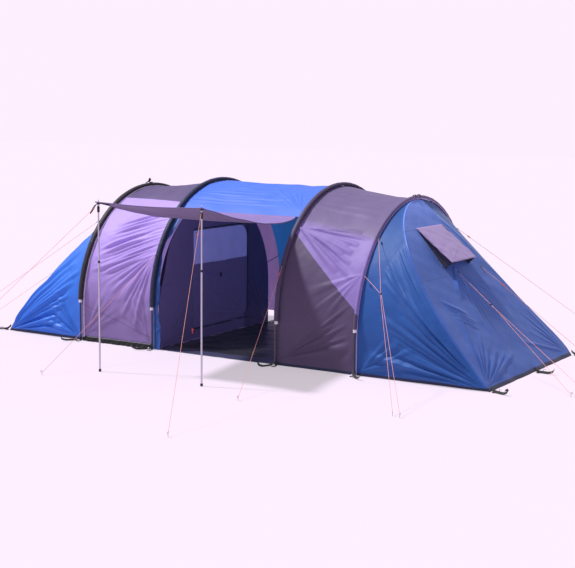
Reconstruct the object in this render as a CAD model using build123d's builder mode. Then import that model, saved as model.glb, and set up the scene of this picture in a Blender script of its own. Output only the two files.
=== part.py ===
"""Tunnel tent on four hoops, with a propped-up door canopy. Millimetres.

+X runs along the tent, -Y is the door side, +Z is up. The origin is on the ground,
midway between the side walls and between the two middle hoops' bays.
"""
from build123d import *
import os
from math import cos, hypot, radians, sin, sqrt

# ---------------------------------------------------------------- driving dimensions
HOOP_X = (-1910, -830, 880, 1860)            # the four hoops along the tent
HOOP_HEIGHT = (1825, 1935, 1935, 1825)       # pole centreline at the crown
HOOP_HALF_WIDTH = 1410                       # pole centreline at the ground
POLE_RADIUS = 8
SLEEVE_RADIUS = 22
SLEEVE_WALL = 2
SLEEVE_END_Z = 500                           # the sleeves stop here, bare pole below
FABRIC = 4                                   # thickness that stands in for a fly panel
FLY_INSET = SLEEVE_RADIUS + 0.5              # fly surface below the pole centreline

END_X = (-3120, 3380)                        # where each sloping end meets the ground
END_SLOPE_START = 30                         # the slope starts this far past the hoop
END_CENTRE_Y = -150                          # the ends are pegged towards the door side
END_HALF_WIDTH = 1200
# how each end fills out beside its sloping face: leg and rise of the half arch that
# its sides run to at the ground line, on the door side and at the rear
END_FILL = (((60, 270), (60, 270)), ((415, 1200), (50, 240)))

INNER_INSET = 90                             # bedrooms hang this far inside the hoops
INNER_REAR_GAP = 260                         # and this much further from the rear wall
FACADE_X = (-800, 850)                       # bedroom walls that face the living room
DOOR_HINGE_Y = (-620, 620)
DOOR_WIDTH = (1170, 900)
DOOR_BOTTOM, DOOR_TOP = 150, 1340
DOOR_CORNER = 160
DOOR_GAP = 6
ZIP_WIDTH = 14
ZIP_OFFSET = 6
ZIP_DEPTH = 3
ZIP_RUN_OUT = 80                             # the bottom zip runs on past the hinge side
SLIDER = (8, 26, 18)                         # along X, Y and Z
SLIDER_FROM_HINGE = 35
SLIDER_CLEARANCE = 0.5
ZIP_PULL = (9, 44, 3)                        # width, length and thickness
ZIP_PULL_DROP = 30                           # its middle hangs this far under the slider

DOORWAY_X = (-690, 850)
DOORWAY_TOP = 1600
REAR_GAP_X = (-780, 840)
REAR_GAP_HEIGHT = 60

CANOPY_HINGE = (-884, 1606)                  # y and z of the canopy's sewn edge
CANOPY_EDGE = (-2760, 1816)
CANOPY_SAG = 30
CANOPY_HINGE_X = (-650, 800)
AWNING_POLE_X = (-510, 820)
AWNING_POLE_Y = -2735
CANOPY_OVERHANG = 20

BALL_RADIUS = 13
BALL_Z = 1786
AWNING_UPPER_RADIUS = 8
AWNING_LOWER_RADIUS = 9.5
AWNING_JOINT_Z = 1180
AWNING_UPPER_END_Z = 680
AWNING_BORE_Z = 60
AWNING_FOOT = (13, 18)

VENT_CENTRE_Y = -220
VENT_TOP_RUN = 390                           # down the slope from its top
VENT_WINDOW = (600, 470)
VENT_FLAP = (650, 560)
VENT_OPEN_ANGLE = 12

CORD_RADIUS = 2
STANDOFF_LOW = 75                            # webbing tab from pole line to cord
STANDOFF_HIGH = 130                          # high on a hoop the cord leaves at a slant
STANDOFF_PANEL = 45
PEG_RADIUS = 3
PEG_HEIGHT = 48
CORD_PEG_Z = 24
RUNNER_RADIUS = 6
RUNNER_LENGTH = 45
RUNNER_CLEARANCE = 0.4
KNOT_RADIUS = 11
LEG_SPREAD = 5                               # paired legs leave a knot side by side

LEFT, RIGHT = 0, 1
SIDE_NAME = ("left", "right")
END_HOOP = (0, 3)

os.makedirs("parts", exist_ok=True)


def save(part, name):
    """Label a finished piece and write it."""
    part.label = name
    export_step(part, f"parts/{name}.step")


# ---------------------------------------------------------------- shared outlines
def spring_z(hoop):
    """Height at which a hoop's straight leg turns into its half circle."""
    return HOOP_HEIGHT[hoop] - HOOP_HALF_WIDTH


def hoop_y(hoop, z):
    """Half width of a hoop's centreline at height z."""
    rise = max(z - spring_z(hoop), 0)
    return sqrt(HOOP_HALF_WIDTH**2 - rise**2)


def arch_face(x, half_width, height, base=0.0, centre_y=0.0):
    """A filled arch, two legs and a half circle, in the plane across the tent at x."""
    spring = height - half_width
    left, right = centre_y - half_width, centre_y + half_width
    with BuildSketch(Plane.YZ.offset(x)) as face:
        with BuildLine():
            Line((left, base), (left, spring))
            ThreePointArc((left, spring), (centre_y, height), (right, spring))
            Line((right, spring), (right, base))
            Line((right, base), (left, base))
        make_face()
    return face.sketch


def hoop_arch(hoop, x, inset, base=0.0, rear_gap=0.0):
    """A hoop's arch at x, pulled in by inset all round and by rear_gap at the rear."""
    half_width = HOOP_HALF_WIDTH - inset - rear_gap / 2
    return arch_face(x, half_width, HOOP_HEIGHT[hoop] - inset, base, -rear_gap / 2)


def band(hoop, inset):
    """The cross-section of a fly panel at a hoop: an arch with open feet."""
    spring = spring_z(hoop)
    outer = HOOP_HALF_WIDTH - inset
    inner = outer - FABRIC
    with BuildSketch(Plane.YZ.offset(HOOP_X[hoop])) as ring:
        with BuildLine():
            Line((-outer, 0), (-outer, spring))
            ThreePointArc((-outer, spring), (0, spring + outer), (outer, spring))
            Polyline((outer, spring), (outer, 0), (inner, 0), (inner, spring))
            ThreePointArc((inner, spring), (0, spring + inner), (-inner, spring))
            Polyline((-inner, spring), (-inner, 0), (-outer, 0))
        make_face()
    return ring.sketch


def outward(side):
    """+1 towards the right-hand end, -1 towards the left-hand end."""
    return 1 if side == RIGHT else -1


def towards_free_edge(side):
    """+1 or -1: the way along Y from a door's hinge to its free edge."""
    return -1 if DOOR_HINGE_Y[side] > 0 else 1


def slope_line(side):
    """Top and ground points (x, z) of a sloping end's outer surface."""
    hoop = END_HOOP[side]
    top_x = HOOP_X[hoop] + outward(side) * END_SLOPE_START
    return (top_x, HOOP_HEIGHT[hoop] - FLY_INSET), (END_X[side], 0)


def slope_plane(side, run=0.0, lift=0.0, turn=0.0, y=0.0):
    """Plane on a sloping end: local +Y points up the slope, +Z out of the tent.

    run is the distance down the slope from its top, lift the distance out of it,
    and turn opens the plane outwards, in degrees, about its own X axis.
    """
    (top_x, top_z), (foot_x, foot_z) = slope_line(side)
    length = hypot(foot_x - top_x, top_z - foot_z)
    up = Vector(top_x - foot_x, 0, top_z - foot_z) / length
    out = Vector(outward(side) * abs(up.Z), 0, abs(up.X))
    origin = Vector(top_x, y, top_z) - up * run + out * lift
    tilted = out * cos(radians(turn)) + up * sin(radians(turn))
    return Plane(origin, x_dir=(0, outward(side), 0), z_dir=tilted)


def half_arch(x, centre_y, half_width, leg, rise, base, way):
    """One half of a filled arch across the tent at x: a leg and a quarter ellipse."""
    edge = centre_y + way * half_width
    start_angle = 0 if way > 0 else 90
    with BuildSketch(Plane.YZ.offset(x)) as face:
        with BuildLine():
            Line((centre_y, base), (edge, base))
            Line((edge, base), (edge, leg))
            EllipticalCenterArc((centre_y, leg), half_width, rise, start_angle, arc_size=90)
            Line((centre_y, leg + rise), (centre_y, base))
        make_face()
    return face.sketch


def end_volume(side, inset, start_x, base=0.0, rear_gap=0.0):
    """Closed volume of a tapered, sloping end, inset from the hoop's centreline."""
    hoop = END_HOOP[side]
    taper = inset - FLY_INSET
    near_half = HOOP_HALF_WIDTH - inset - rear_gap / 2
    near_leg = HOOP_HEIGHT[hoop] - inset - near_half
    with BuildPart() as volume:
        for way, (leg, rise) in zip((-1, 1), END_FILL[side]):
            near = half_arch(HOOP_X[hoop], -rear_gap / 2, near_half, near_leg, near_half, base, way)
            far = half_arch(
                END_X[side], END_CENTRE_Y, END_HALF_WIDTH - taper, leg, rise - taper, base, way
            )
            loft([near, far], ruled=True)
        if start_x != HOOP_X[hoop]:
            straight = hoop_arch(hoop, HOOP_X[hoop], inset, base, rear_gap)
            extrude(straight, amount=start_x - HOOP_X[hoop])
        split(bisect_by=slope_plane(side, lift=FLY_INSET - inset), keep=Keep.BOTTOM)
    return volume.part


# ---------------------------------------------------------------- hoops and sleeves
def hoop_path(hoop):
    """Centreline of a hoop, from foot to foot."""
    spring = spring_z(hoop)
    with BuildLine(Plane.YZ.offset(HOOP_X[hoop])) as path:
        Line((-HOOP_HALF_WIDTH, POLE_RADIUS), (-HOOP_HALF_WIDTH, spring))
        ThreePointArc(
            (-HOOP_HALF_WIDTH, spring),
            (0, HOOP_HEIGHT[hoop]),
            (HOOP_HALF_WIDTH, spring),
        )
        Line((HOOP_HALF_WIDTH, spring), (HOOP_HALF_WIDTH, POLE_RADIUS))
    return path.wire()


def hoop_section(hoop, outer, inner=0.0):
    """Round section of a hoop or its sleeve, drawn at the door-side foot."""
    start = Plane((HOOP_X[hoop], -HOOP_HALF_WIDTH, POLE_RADIUS), z_dir=(0, 0, 1))
    with BuildSketch(start) as section:
        Circle(outer)
        if inner:
            Circle(inner, mode=Mode.SUBTRACT)
    return section.sketch


for hoop in range(len(HOOP_X)):
    with BuildPart() as pole:
        sweep(hoop_section(hoop, POLE_RADIUS), path=hoop_path(hoop))
    save(pole.part, f"hoop_pole_{hoop + 1}")

with BuildPart() as pole_sleeves:
    for hoop in range(len(HOOP_X)):
        sweep(
            hoop_section(hoop, SLEEVE_RADIUS, SLEEVE_RADIUS - SLEEVE_WALL),
            path=hoop_path(hoop),
        )
    split(bisect_by=Plane.XY.offset(SLEEVE_END_Z), keep=Keep.TOP)
save(pole_sleeves.part, "pole_sleeves")

FERRULE_OUTER, FERRULE_INNER, FERRULE_LENGTH = 10.5, 8.5, 70
FERRULE_ANGLES = (20, 70, 110, 160)
with BuildPart() as pole_ferrules:
    for hoop in range(len(HOOP_X)):
        for angle in FERRULE_ANGLES:
            turn = radians(angle)
            centre = (
                HOOP_X[hoop],
                HOOP_HALF_WIDTH * cos(turn),
                spring_z(hoop) + HOOP_HALF_WIDTH * sin(turn),
            )
            along = Plane(centre, x_dir=(1, 0, 0), z_dir=(0, -sin(turn), cos(turn)))
            with BuildSketch(along):
                Circle(FERRULE_OUTER)
                Circle(FERRULE_INNER, mode=Mode.SUBTRACT)
            extrude(amount=FERRULE_LENGTH / 2, both=True)
save(pole_ferrules.part, "pole_ferrules")

CAP_RADIUS, CAP_BORE, CAP_HEIGHT = 20, 11, 34
FOOT_RADIUS, FOOT_BORE, FOOT_HEIGHT = 13, 8.3, 50


def ring(centre, outer, inner, height):
    """An upright ring standing on centre, added to the part being built."""
    with BuildSketch(Plane(centre)) as section:
        Circle(outer)
        Circle(inner, mode=Mode.SUBTRACT)
    return extrude(section.sketch, amount=height, mode=Mode.PRIVATE)


with BuildPart() as sleeve_end_caps:
    for hoop in range(len(HOOP_X)):
        for way in (-1, 1):
            z = SLEEVE_END_Z - CAP_HEIGHT
            y = way * hoop_y(hoop, z + CAP_HEIGHT / 2)
            add(ring((HOOP_X[hoop], y, z), CAP_RADIUS, CAP_BORE, CAP_HEIGHT - 0.5))
save(sleeve_end_caps.part, "sleeve_end_caps")

with BuildPart() as hoop_feet:
    for hoop in range(len(HOOP_X)):
        for way in (-1, 1):
            foot = (HOOP_X[hoop], way * HOOP_HALF_WIDTH, 0)
            add(ring(foot, FOOT_RADIUS, FOOT_BORE, FOOT_HEIGHT))
            with BuildSketch(Plane(foot)):
                Circle(FOOT_RADIUS)
            extrude(amount=POLE_RADIUS - 0.5)
save(hoop_feet.part, "hoop_feet")

# ---------------------------------------------------------------- fly sheet
with BuildPart() as fly_left_bay:
    loft([band(0, FLY_INSET), band(1, FLY_INSET)], ruled=True)
save(fly_left_bay.part, "fly_left_bay")

with BuildPart() as fly_right_bay:
    loft([band(2, FLY_INSET), band(3, FLY_INSET)], ruled=True)
save(fly_right_bay.part, "fly_right_bay")

with BuildPart() as fly_centre:
    loft([band(1, FLY_INSET), band(2, FLY_INSET)], ruled=True)
    with BuildSketch(Plane.XY):
        with Locations(((DOORWAY_X[0] + DOORWAY_X[1]) / 2, -HOOP_HALF_WIDTH)):
            Rectangle(DOORWAY_X[1] - DOORWAY_X[0], HOOP_HALF_WIDTH)
    extrude(amount=DOORWAY_TOP, mode=Mode.SUBTRACT)
    with BuildSketch(Plane.XY):
        with Locations(((REAR_GAP_X[0] + REAR_GAP_X[1]) / 2, HOOP_HALF_WIDTH)):
            Rectangle(REAR_GAP_X[1] - REAR_GAP_X[0], HOOP_HALF_WIDTH)
    extrude(amount=REAR_GAP_HEIGHT, mode=Mode.SUBTRACT)
save(fly_centre.part, "fly_centre")

for side in (LEFT, RIGHT):
    hoop = END_HOOP[side]
    window = slope_plane(side, run=VENT_TOP_RUN + VENT_WINDOW[1] / 2, y=VENT_CENTRE_Y)
    with BuildPart() as fly_end:
        add(end_volume(side, FLY_INSET, HOOP_X[hoop]))
        add(
            end_volume(side, FLY_INSET + FABRIC, HOOP_X[hoop] - outward(side) * FABRIC, base=-FABRIC),
            mode=Mode.SUBTRACT,
        )
        with BuildSketch(window):
            Rectangle(*VENT_WINDOW)
        extrude(amount=6 * FABRIC, both=True, mode=Mode.SUBTRACT)
    save(fly_end.part, f"fly_{SIDE_NAME[side]}_end")

# Mud skirt along the foot of the left bay, front and rear.
SKIRT_HEIGHT, SKIRT_THICKNESS, SKIRT_END_GAP = 60, 2, 30
with BuildPart() as mud_skirt:
    with BuildSketch():
        for way in (-1, 1):
            y = way * (HOOP_HALF_WIDTH - FLY_INSET + SKIRT_THICKNESS / 2)
            with Locations(((HOOP_X[0] + HOOP_X[1]) / 2, y)):
                Rectangle(HOOP_X[1] - HOOP_X[0] - 2 * SKIRT_END_GAP, SKIRT_THICKNESS)
    extrude(amount=SKIRT_HEIGHT)
save(mud_skirt.part, "mud_skirt")

# ---------------------------------------------------------------- groundsheet and bedrooms
SHEET_GAP = 2
SHEET_HALF_WIDTH = HOOP_HALF_WIDTH - FLY_INSET - FABRIC - 8
with BuildPart() as groundsheet:
    with BuildSketch():
        with Locations(((FACADE_X[0] + FACADE_X[1]) / 2, 0)):
            Rectangle(FACADE_X[1] - FACADE_X[0] - 2 * SHEET_GAP, 2 * SHEET_HALF_WIDTH)
    extrude(amount=FABRIC)
save(groundsheet.part, "groundsheet")


def facade_plane(side):
    """Plane of a bedroom wall; local X is the tent's Y, local Y is up, +Z the tent's +X."""
    return Plane.YZ.offset(FACADE_X[side])


def door_outline(side, grow):
    """Door shape with rounded corners on its free side, grown by grow all round."""
    hinge = DOOR_HINGE_Y[side]
    towards = towards_free_edge(side)
    near, far = hinge - towards * grow, hinge + towards * (DOOR_WIDTH[side] + grow)
    low, high = DOOR_BOTTOM - grow, DOOR_TOP + grow
    with BuildSketch(facade_plane(side)) as outline:
        with BuildLine():
            Polyline((near, low), (far, low), (far, high), (near, high), close=True)
        make_face()
        free_corners = outline.vertices().filter_by(
            lambda v: abs(v.Y - far) < 1 and v.Z > DOOR_TOP / 2
        )
        fillet(free_corners, DOOR_CORNER + grow)
    return outline.sketch


for side in (LEFT, RIGHT):
    inward = -outward(side)
    with BuildPart() as inner_tent:
        add(end_volume(side, INNER_INSET, FACADE_X[side], rear_gap=INNER_REAR_GAP))
        room = end_volume(
            side, INNER_INSET + FABRIC, FACADE_X[side] - inward * FABRIC, FABRIC, INNER_REAR_GAP
        )
        add(room, mode=Mode.SUBTRACT)
        extrude(door_outline(side, 0), amount=3 * FABRIC, both=True, mode=Mode.SUBTRACT)
    save(inner_tent.part, f"inner_tent_{SIDE_NAME[side]}")

    with BuildPart() as inner_door:
        extrude(door_outline(side, -DOOR_GAP), amount=-inward * FABRIC)
    save(inner_door.part, f"inner_door_{SIDE_NAME[side]}")

def door_frame(side, grow):
    """A door-shaped plate as deep as the zip, grown by grow all round."""
    return extrude(door_outline(side, grow), amount=-outward(side) * ZIP_DEPTH, mode=Mode.PRIVATE)


def zip_path(side):
    """The closed loop of zip round a door, before its hinge side is taken away."""
    return door_frame(side, ZIP_OFFSET + ZIP_WIDTH) - door_frame(side, ZIP_OFFSET)


BOTTOM_ZIP_Z = DOOR_BOTTOM - ZIP_OFFSET - ZIP_WIDTH / 2
HINGE_CUT = (2 * ZIP_WIDTH + 2 * ZIP_OFFSET, DOOR_TOP - DOOR_BOTTOM + 200)
with BuildPart() as door_zips:
    for side in (LEFT, RIGHT):
        hinge = DOOR_HINGE_Y[side]
        towards = towards_free_edge(side)
        with BuildSketch(facade_plane(side)) as hinge_side:
            with Locations((hinge - towards * ZIP_WIDTH / 2, (DOOR_BOTTOM + DOOR_TOP) / 2)):
                Rectangle(*HINGE_CUT)
        hinge_block = extrude(hinge_side.sketch, amount=3 * ZIP_DEPTH, both=True, mode=Mode.PRIVATE)
        add(zip_path(side) - hinge_block)
        run_out_middle = hinge - towards * (ZIP_RUN_OUT - ZIP_WIDTH) / 2
        with BuildSketch(facade_plane(side)) as run_out:
            with Locations((run_out_middle, BOTTOM_ZIP_Z)):
                Rectangle(ZIP_RUN_OUT + ZIP_WIDTH, ZIP_WIDTH)
        extrude(run_out.sketch, amount=-outward(side) * ZIP_DEPTH)
save(door_zips.part, "door_zips")

for side in (LEFT, RIGHT):
    slider_y = DOOR_HINGE_Y[side] - towards_free_edge(side) * SLIDER_FROM_HINGE
    slider_x = FACADE_X[side] - outward(side) * (ZIP_DEPTH + SLIDER_CLEARANCE + SLIDER[0] / 2)
    slider_plane = Plane((slider_x, slider_y, BOTTOM_ZIP_Z), x_dir=(0, 1, 0), z_dir=(1, 0, 0))
    with BuildPart() as zip_slider:
        with BuildSketch(slider_plane):
            Rectangle(SLIDER[1], SLIDER[2])
        extrude(amount=SLIDER[0] / 2, both=True)
        with BuildSketch(slider_plane):
            with Locations((0, -ZIP_PULL_DROP)):
                Rectangle(ZIP_PULL[0], ZIP_PULL[1])
        extrude(amount=ZIP_PULL[2] / 2, both=True)
        fillet(zip_slider.edges().filter_by(Axis.X).group_by(Axis.Z)[-1], SLIDER[0] / 2)
    save(zip_slider.part, f"zip_slider_{SIDE_NAME[side]}")

# Elastic ties that hang the bedrooms off the hoops.
TIE_ANGLES = (12, 45, 75, 105, 135, 168)
TIE_WIDTH, TIE_THICKNESS, TIE_CLEARANCE = 12, 3, 8
TIE_FROM_FACADE = 10


def reach_to_fly(root, radial, hoop):
    """Distance along radial from root to the inner face of the fly beside a hoop."""
    radius = HOOP_HALF_WIDTH - FLY_INSET - FABRIC
    from_centre = root - Vector(root.X, 0, spring_z(hoop))
    ahead = from_centre.dot(radial)
    return sqrt(ahead**2 - from_centre.length**2 + radius**2) - ahead


with BuildPart() as inner_ties:
    for side, hoop in ((LEFT, 1), (RIGHT, 2)):
        arch_radius = HOOP_HALF_WIDTH - INNER_INSET - INNER_REAR_GAP / 2
        arch_centre = Vector(
            FACADE_X[side] + outward(side) * TIE_FROM_FACADE,
            -INNER_REAR_GAP / 2,
            HOOP_HEIGHT[END_HOOP[side]] - INNER_INSET - arch_radius,
        )
        for angle in TIE_ANGLES:
            radial = Vector(0, cos(radians(angle)), sin(radians(angle)))
            root = arch_centre + radial * (arch_radius + 2)
            with BuildSketch(Plane(root, x_dir=(1, 0, 0), z_dir=radial)):
                Rectangle(TIE_WIDTH, TIE_THICKNESS)
            extrude(amount=reach_to_fly(root, radial, hoop) - TIE_CLEARANCE)
save(inner_ties.part, "inner_ties")

# ---------------------------------------------------------------- end vents
for side in (LEFT, RIGHT):
    middle = VENT_TOP_RUN + VENT_WINDOW[1] / 2
    with BuildPart() as vent_mesh:
        with BuildSketch(slope_plane(side, run=middle, lift=-FABRIC / 2, y=VENT_CENTRE_Y)):
            Rectangle(VENT_WINDOW[0] - 2, VENT_WINDOW[1] - 2)
        extrude(amount=1, both=True)
    save(vent_mesh.part, f"vent_mesh_{SIDE_NAME[side]}")

    hinge_run = VENT_TOP_RUN - 30
    with BuildPart() as vent_flap:
        with BuildSketch(
            slope_plane(side, run=hinge_run, lift=6, turn=VENT_OPEN_ANGLE, y=VENT_CENTRE_Y)
        ):
            with Locations((0, -VENT_FLAP[1] / 2 - 4)):
                Rectangle(*VENT_FLAP)
        extrude(amount=FABRIC / 2, both=True)
    save(vent_flap.part, f"vent_flap_{SIDE_NAME[side]}")

# ---------------------------------------------------------------- canopy and its poles
def canopy_section(y, z, x_low, x_high):
    """A thin strip across the canopy, facing along Y."""
    with BuildSketch(Plane(((x_low + x_high) / 2, y, z), x_dir=(1, 0, 0), z_dir=(0, -1, 0))) as strip:
        Rectangle(x_high - x_low, FABRIC)
    return strip.sketch


edge_x = (AWNING_POLE_X[0] - CANOPY_OVERHANG, AWNING_POLE_X[1] + CANOPY_OVERHANG)
with BuildPart() as canopy:
    loft(
        [
            canopy_section(CANOPY_HINGE[0] - 5, CANOPY_HINGE[1], *CANOPY_HINGE_X),
            canopy_section(
                (CANOPY_HINGE[0] + CANOPY_EDGE[0]) / 2,
                (CANOPY_HINGE[1] + CANOPY_EDGE[1]) / 2 - CANOPY_SAG,
                (CANOPY_HINGE_X[0] + edge_x[0]) / 2,
                (CANOPY_HINGE_X[1] + edge_x[1]) / 2,
            ),
            canopy_section(CANOPY_EDGE[0], CANOPY_EDGE[1], *edge_x),
        ]
    )
save(canopy.part, "canopy")

CAP_SEAT_RADIUS, CAP_SEAT_HEIGHT = 20, 8
with BuildPart() as canopy_corner_caps:
    for x in AWNING_POLE_X:
        with BuildSketch(Plane((x, AWNING_POLE_Y, BALL_Z + 9))):
            Circle(CAP_SEAT_RADIUS)
        extrude(amount=CAP_SEAT_HEIGHT)
        with Locations((x, AWNING_POLE_Y, BALL_Z)):
            Sphere(BALL_RADIUS + 0.4, mode=Mode.SUBTRACT)
save(canopy_corner_caps.part, "canopy_corner_caps")

for side, x in enumerate(AWNING_POLE_X):
    with BuildPart() as upper:
        with BuildSketch(Plane((x, AWNING_POLE_Y, AWNING_UPPER_END_Z))):
            Circle(AWNING_UPPER_RADIUS)
        extrude(amount=BALL_Z - AWNING_UPPER_END_Z)
        with Locations((x, AWNING_POLE_Y, BALL_Z)):
            Sphere(BALL_RADIUS)
    save(upper.part, f"awning_pole_{SIDE_NAME[side]}_upper")

    with BuildPart() as lower:
        with BuildSketch(Plane((x, AWNING_POLE_Y, 0))):
            Circle(AWNING_LOWER_RADIUS)
        extrude(amount=AWNING_JOINT_Z)
        with BuildSketch(Plane((x, AWNING_POLE_Y, 0))):
            Circle(AWNING_FOOT[0])
        extrude(amount=AWNING_FOOT[1])
        with BuildSketch(Plane((x, AWNING_POLE_Y, AWNING_BORE_Z))):
            Circle(AWNING_UPPER_RADIUS + 0.1)
        extrude(amount=AWNING_JOINT_Z, mode=Mode.SUBTRACT)
        fillet(lower.edges().group_by(Axis.Z)[0], 3)
    save(lower.part, f"awning_pole_{SIDE_NAME[side]}_lower")

# ---------------------------------------------------------------- guylines
def hoop_anchor(hoop, z, way):
    """Point on a hoop's centreline at height z; way is -1 on the door side."""
    return Vector(HOOP_X[hoop], way * hoop_y(hoop, z), z)


def panel_anchor(side, run, y):
    """Point on a sloping end's outer surface."""
    return slope_plane(side, run=run, y=y).origin


def peg_hold(x, y):
    """Where a guyline's end sits on the peg at (x, y)."""
    return Vector(x, y, CORD_PEG_Z)


FRONT_JUNCTION = Vector(2402, -1874, 979)
END_JUNCTION = Vector(3029, -544, 761)
CANOPY_CORNERS = [Vector(x, AWNING_POLE_Y, BALL_Z + 10) for x in AWNING_POLE_X]
FRONT_LEG_PEGS = (peg_hold(3036, -2810), peg_hold(3127, -2843))
END_LEG_PEGS = (peg_hold(4141, -1101), peg_hold(4440, -1250))
PEG_GAP = PEG_RADIUS + CORD_RADIUS + 0.5
KNOT_STANDOFF = KNOT_RADIUS + 0.3


def leg_starts(junction, pegs, first_way):
    """Starts, side by side, of the two legs that run from a junction to a pair of pegs."""
    middle = (pegs[0] + pegs[1]) / 2
    ahead = Vector(middle.X - junction.X, middle.Y - junction.Y, 0).normalized()
    beside = Vector(-ahead.Y, ahead.X, 0) * LEG_SPREAD * first_way
    return junction + beside, junction - beside


FRONT_LEGS = leg_starts(FRONT_JUNCTION, FRONT_LEG_PEGS, -1)
END_LEGS = leg_starts(END_JUNCTION, END_LEG_PEGS, 1)

# name: start, stand-off at the start, end, stand-off at the end
GUYLINES = {
    "guy_hoop1_front": (hoop_anchor(0, 1470, -1), STANDOFF_HIGH, peg_hold(-3080, -2820), PEG_GAP),
    "guy_hoop2_front": (hoop_anchor(1, 1130, -1), STANDOFF_LOW, peg_hold(-895, -3219), PEG_GAP),
    "guy_hoop3_front": (hoop_anchor(2, 1140, -1), STANDOFF_LOW, peg_hold(1494, -3075), PEG_GAP),
    "guy_hoop4_front_high": (hoop_anchor(3, 1487, -1), STANDOFF_HIGH, FRONT_JUNCTION, KNOT_STANDOFF),
    "guy_hoop4_front_low": (hoop_anchor(3, 1072, -1), STANDOFF_LOW, FRONT_JUNCTION, KNOT_STANDOFF),
    "guy_hoop4_front_leg_a": (FRONT_LEGS[0], KNOT_STANDOFF, FRONT_LEG_PEGS[0], PEG_GAP),
    "guy_hoop4_front_leg_b": (FRONT_LEGS[1], KNOT_STANDOFF, FRONT_LEG_PEGS[1], PEG_GAP),
    "guy_hoop1_rear": (hoop_anchor(0, 1470, 1), STANDOFF_HIGH, peg_hold(-3080, 2820), PEG_GAP),
    "guy_hoop2_rear": (hoop_anchor(1, 1130, 1), STANDOFF_LOW, peg_hold(-895, 3219), PEG_GAP),
    "guy_hoop3_rear": (hoop_anchor(2, 1140, 1), STANDOFF_LOW, peg_hold(1494, 3075), PEG_GAP),
    "guy_hoop4_rear": (hoop_anchor(3, 1447, 1), STANDOFF_HIGH, peg_hold(3100, 2800), PEG_GAP),
    "guy_right_end_front": (panel_anchor(RIGHT, 960, -280), STANDOFF_PANEL, END_JUNCTION, KNOT_STANDOFF),
    "guy_right_end_leg_a": (END_LEGS[0], KNOT_STANDOFF, END_LEG_PEGS[0], PEG_GAP),
    "guy_right_end_leg_b": (END_LEGS[1], KNOT_STANDOFF, END_LEG_PEGS[1], PEG_GAP),
    "guy_right_end_rear": (panel_anchor(RIGHT, 960, 340), STANDOFF_PANEL, peg_hold(4060, 220), PEG_GAP),
    "guy_left_end_front": (panel_anchor(LEFT, 900, -560), STANDOFF_PANEL, peg_hold(-4000, -800), PEG_GAP),
    "guy_left_end_rear": (panel_anchor(LEFT, 900, 120), STANDOFF_PANEL, peg_hold(-4000, 320), PEG_GAP),
    "guy_awning_left": (CANOPY_CORNERS[0], STANDOFF_PANEL, peg_hold(-1350, -4700), PEG_GAP),
    "guy_awning_right": (CANOPY_CORNERS[1], STANDOFF_PANEL, peg_hold(1782, -4587), PEG_GAP),
}


def cord_ends(name):
    """Both ends of a guyline's cord and its direction."""
    start, start_gap, end, end_gap = GUYLINES[name]
    along = (end - start).normalized()
    return start + along * start_gap, end - along * end_gap, along


for name in GUYLINES:
    first, last, along = cord_ends(name)
    with BuildPart() as cord:
        with BuildSketch(Plane(first, z_dir=along)):
            Circle(CORD_RADIUS)
        extrude(amount=(last - first).length)
    save(cord.part, name)

# Runners that slide on a guyline, gripping it by friction.
RUNNERS = {
    "runner_hoop3_front": ("guy_hoop3_front", 120),
    "runner_hoop4_rear": ("guy_hoop4_rear", 140),
    "runner_right_end_rear": ("guy_right_end_rear", 300),
}
for name, (cord_name, distance) in RUNNERS.items():
    first, last, along = cord_ends(cord_name)
    with BuildPart() as runner:
        with BuildSketch(Plane(first + along * distance, z_dir=along)):
            Circle(RUNNER_RADIUS)
            Circle(CORD_RADIUS + RUNNER_CLEARANCE, mode=Mode.SUBTRACT)
        extrude(amount=RUNNER_LENGTH)
    save(runner.part, name)

with BuildPart() as guy_junctions:
    for point in (FRONT_JUNCTION, END_JUNCTION):
        with Locations(point):
            Sphere(KNOT_RADIUS)
save(guy_junctions.part, "guy_junctions")

# Webbing tabs that tie each guyline to a sleeve or a panel.
TAB_WIDTH, TAB_THICKNESS = 20, 2
TAB_START = {STANDOFF_LOW: 48, STANDOFF_HIGH: 90, STANDOFF_PANEL: 14}
TAB_END_GAP = 1
with BuildPart() as guy_tabs:
    for name, (start, gap, end, _) in GUYLINES.items():
        if gap == KNOT_STANDOFF or "awning" in name:
            continue
        along = (end - start).normalized()
        tab_start = TAB_START[gap]
        with BuildSketch(Plane(start + along * tab_start, x_dir=(-along.Y, along.X, 0), z_dir=along)):
            Rectangle(TAB_WIDTH, TAB_THICKNESS)
        extrude(amount=gap - tab_start - TAB_END_GAP)
save(guy_tabs.part, "guy_tabs")

# ---------------------------------------------------------------- ground hardware
HOOK_REACH, HOOK_DROP, HOOK_BEND = 22, 14, 7


def peg(x, y, away):
    """The part of a hooked peg that stands above ground, hook pointing away."""
    top = Vector(x, y, PEG_HEIGHT)
    reach = top + away * HOOK_REACH
    with BuildLine() as path:
        FilletPolyline(Vector(x, y, 0), top, reach, reach - Vector(0, 0, HOOK_DROP), radius=HOOK_BEND)
    with BuildSketch(Plane((x, y, 0))) as section:
        Circle(PEG_RADIUS)
    return sweep(section.sketch, path=path.wire(), mode=Mode.PRIVATE)


STRAP_WIDTH, STRAP_THICKNESS, STRAP_LENGTH = 25, 2, 260
BUCKLE = (44, 34, 5)                         # across the strap, along it, thickness
BUCKLE_SLOT, BUCKLE_SLOT_OFFSET, BUCKLE_RAIL = 10, 8, 7
BUCKLE_FROM_HEM = 40
HOOP_STRAP_OUT = 20                          # a strap starts this far outside its pole
END_STRAP_OUT = 14                           # and this far beyond the end's hem
CORNER_STRAP_IN = 20
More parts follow.
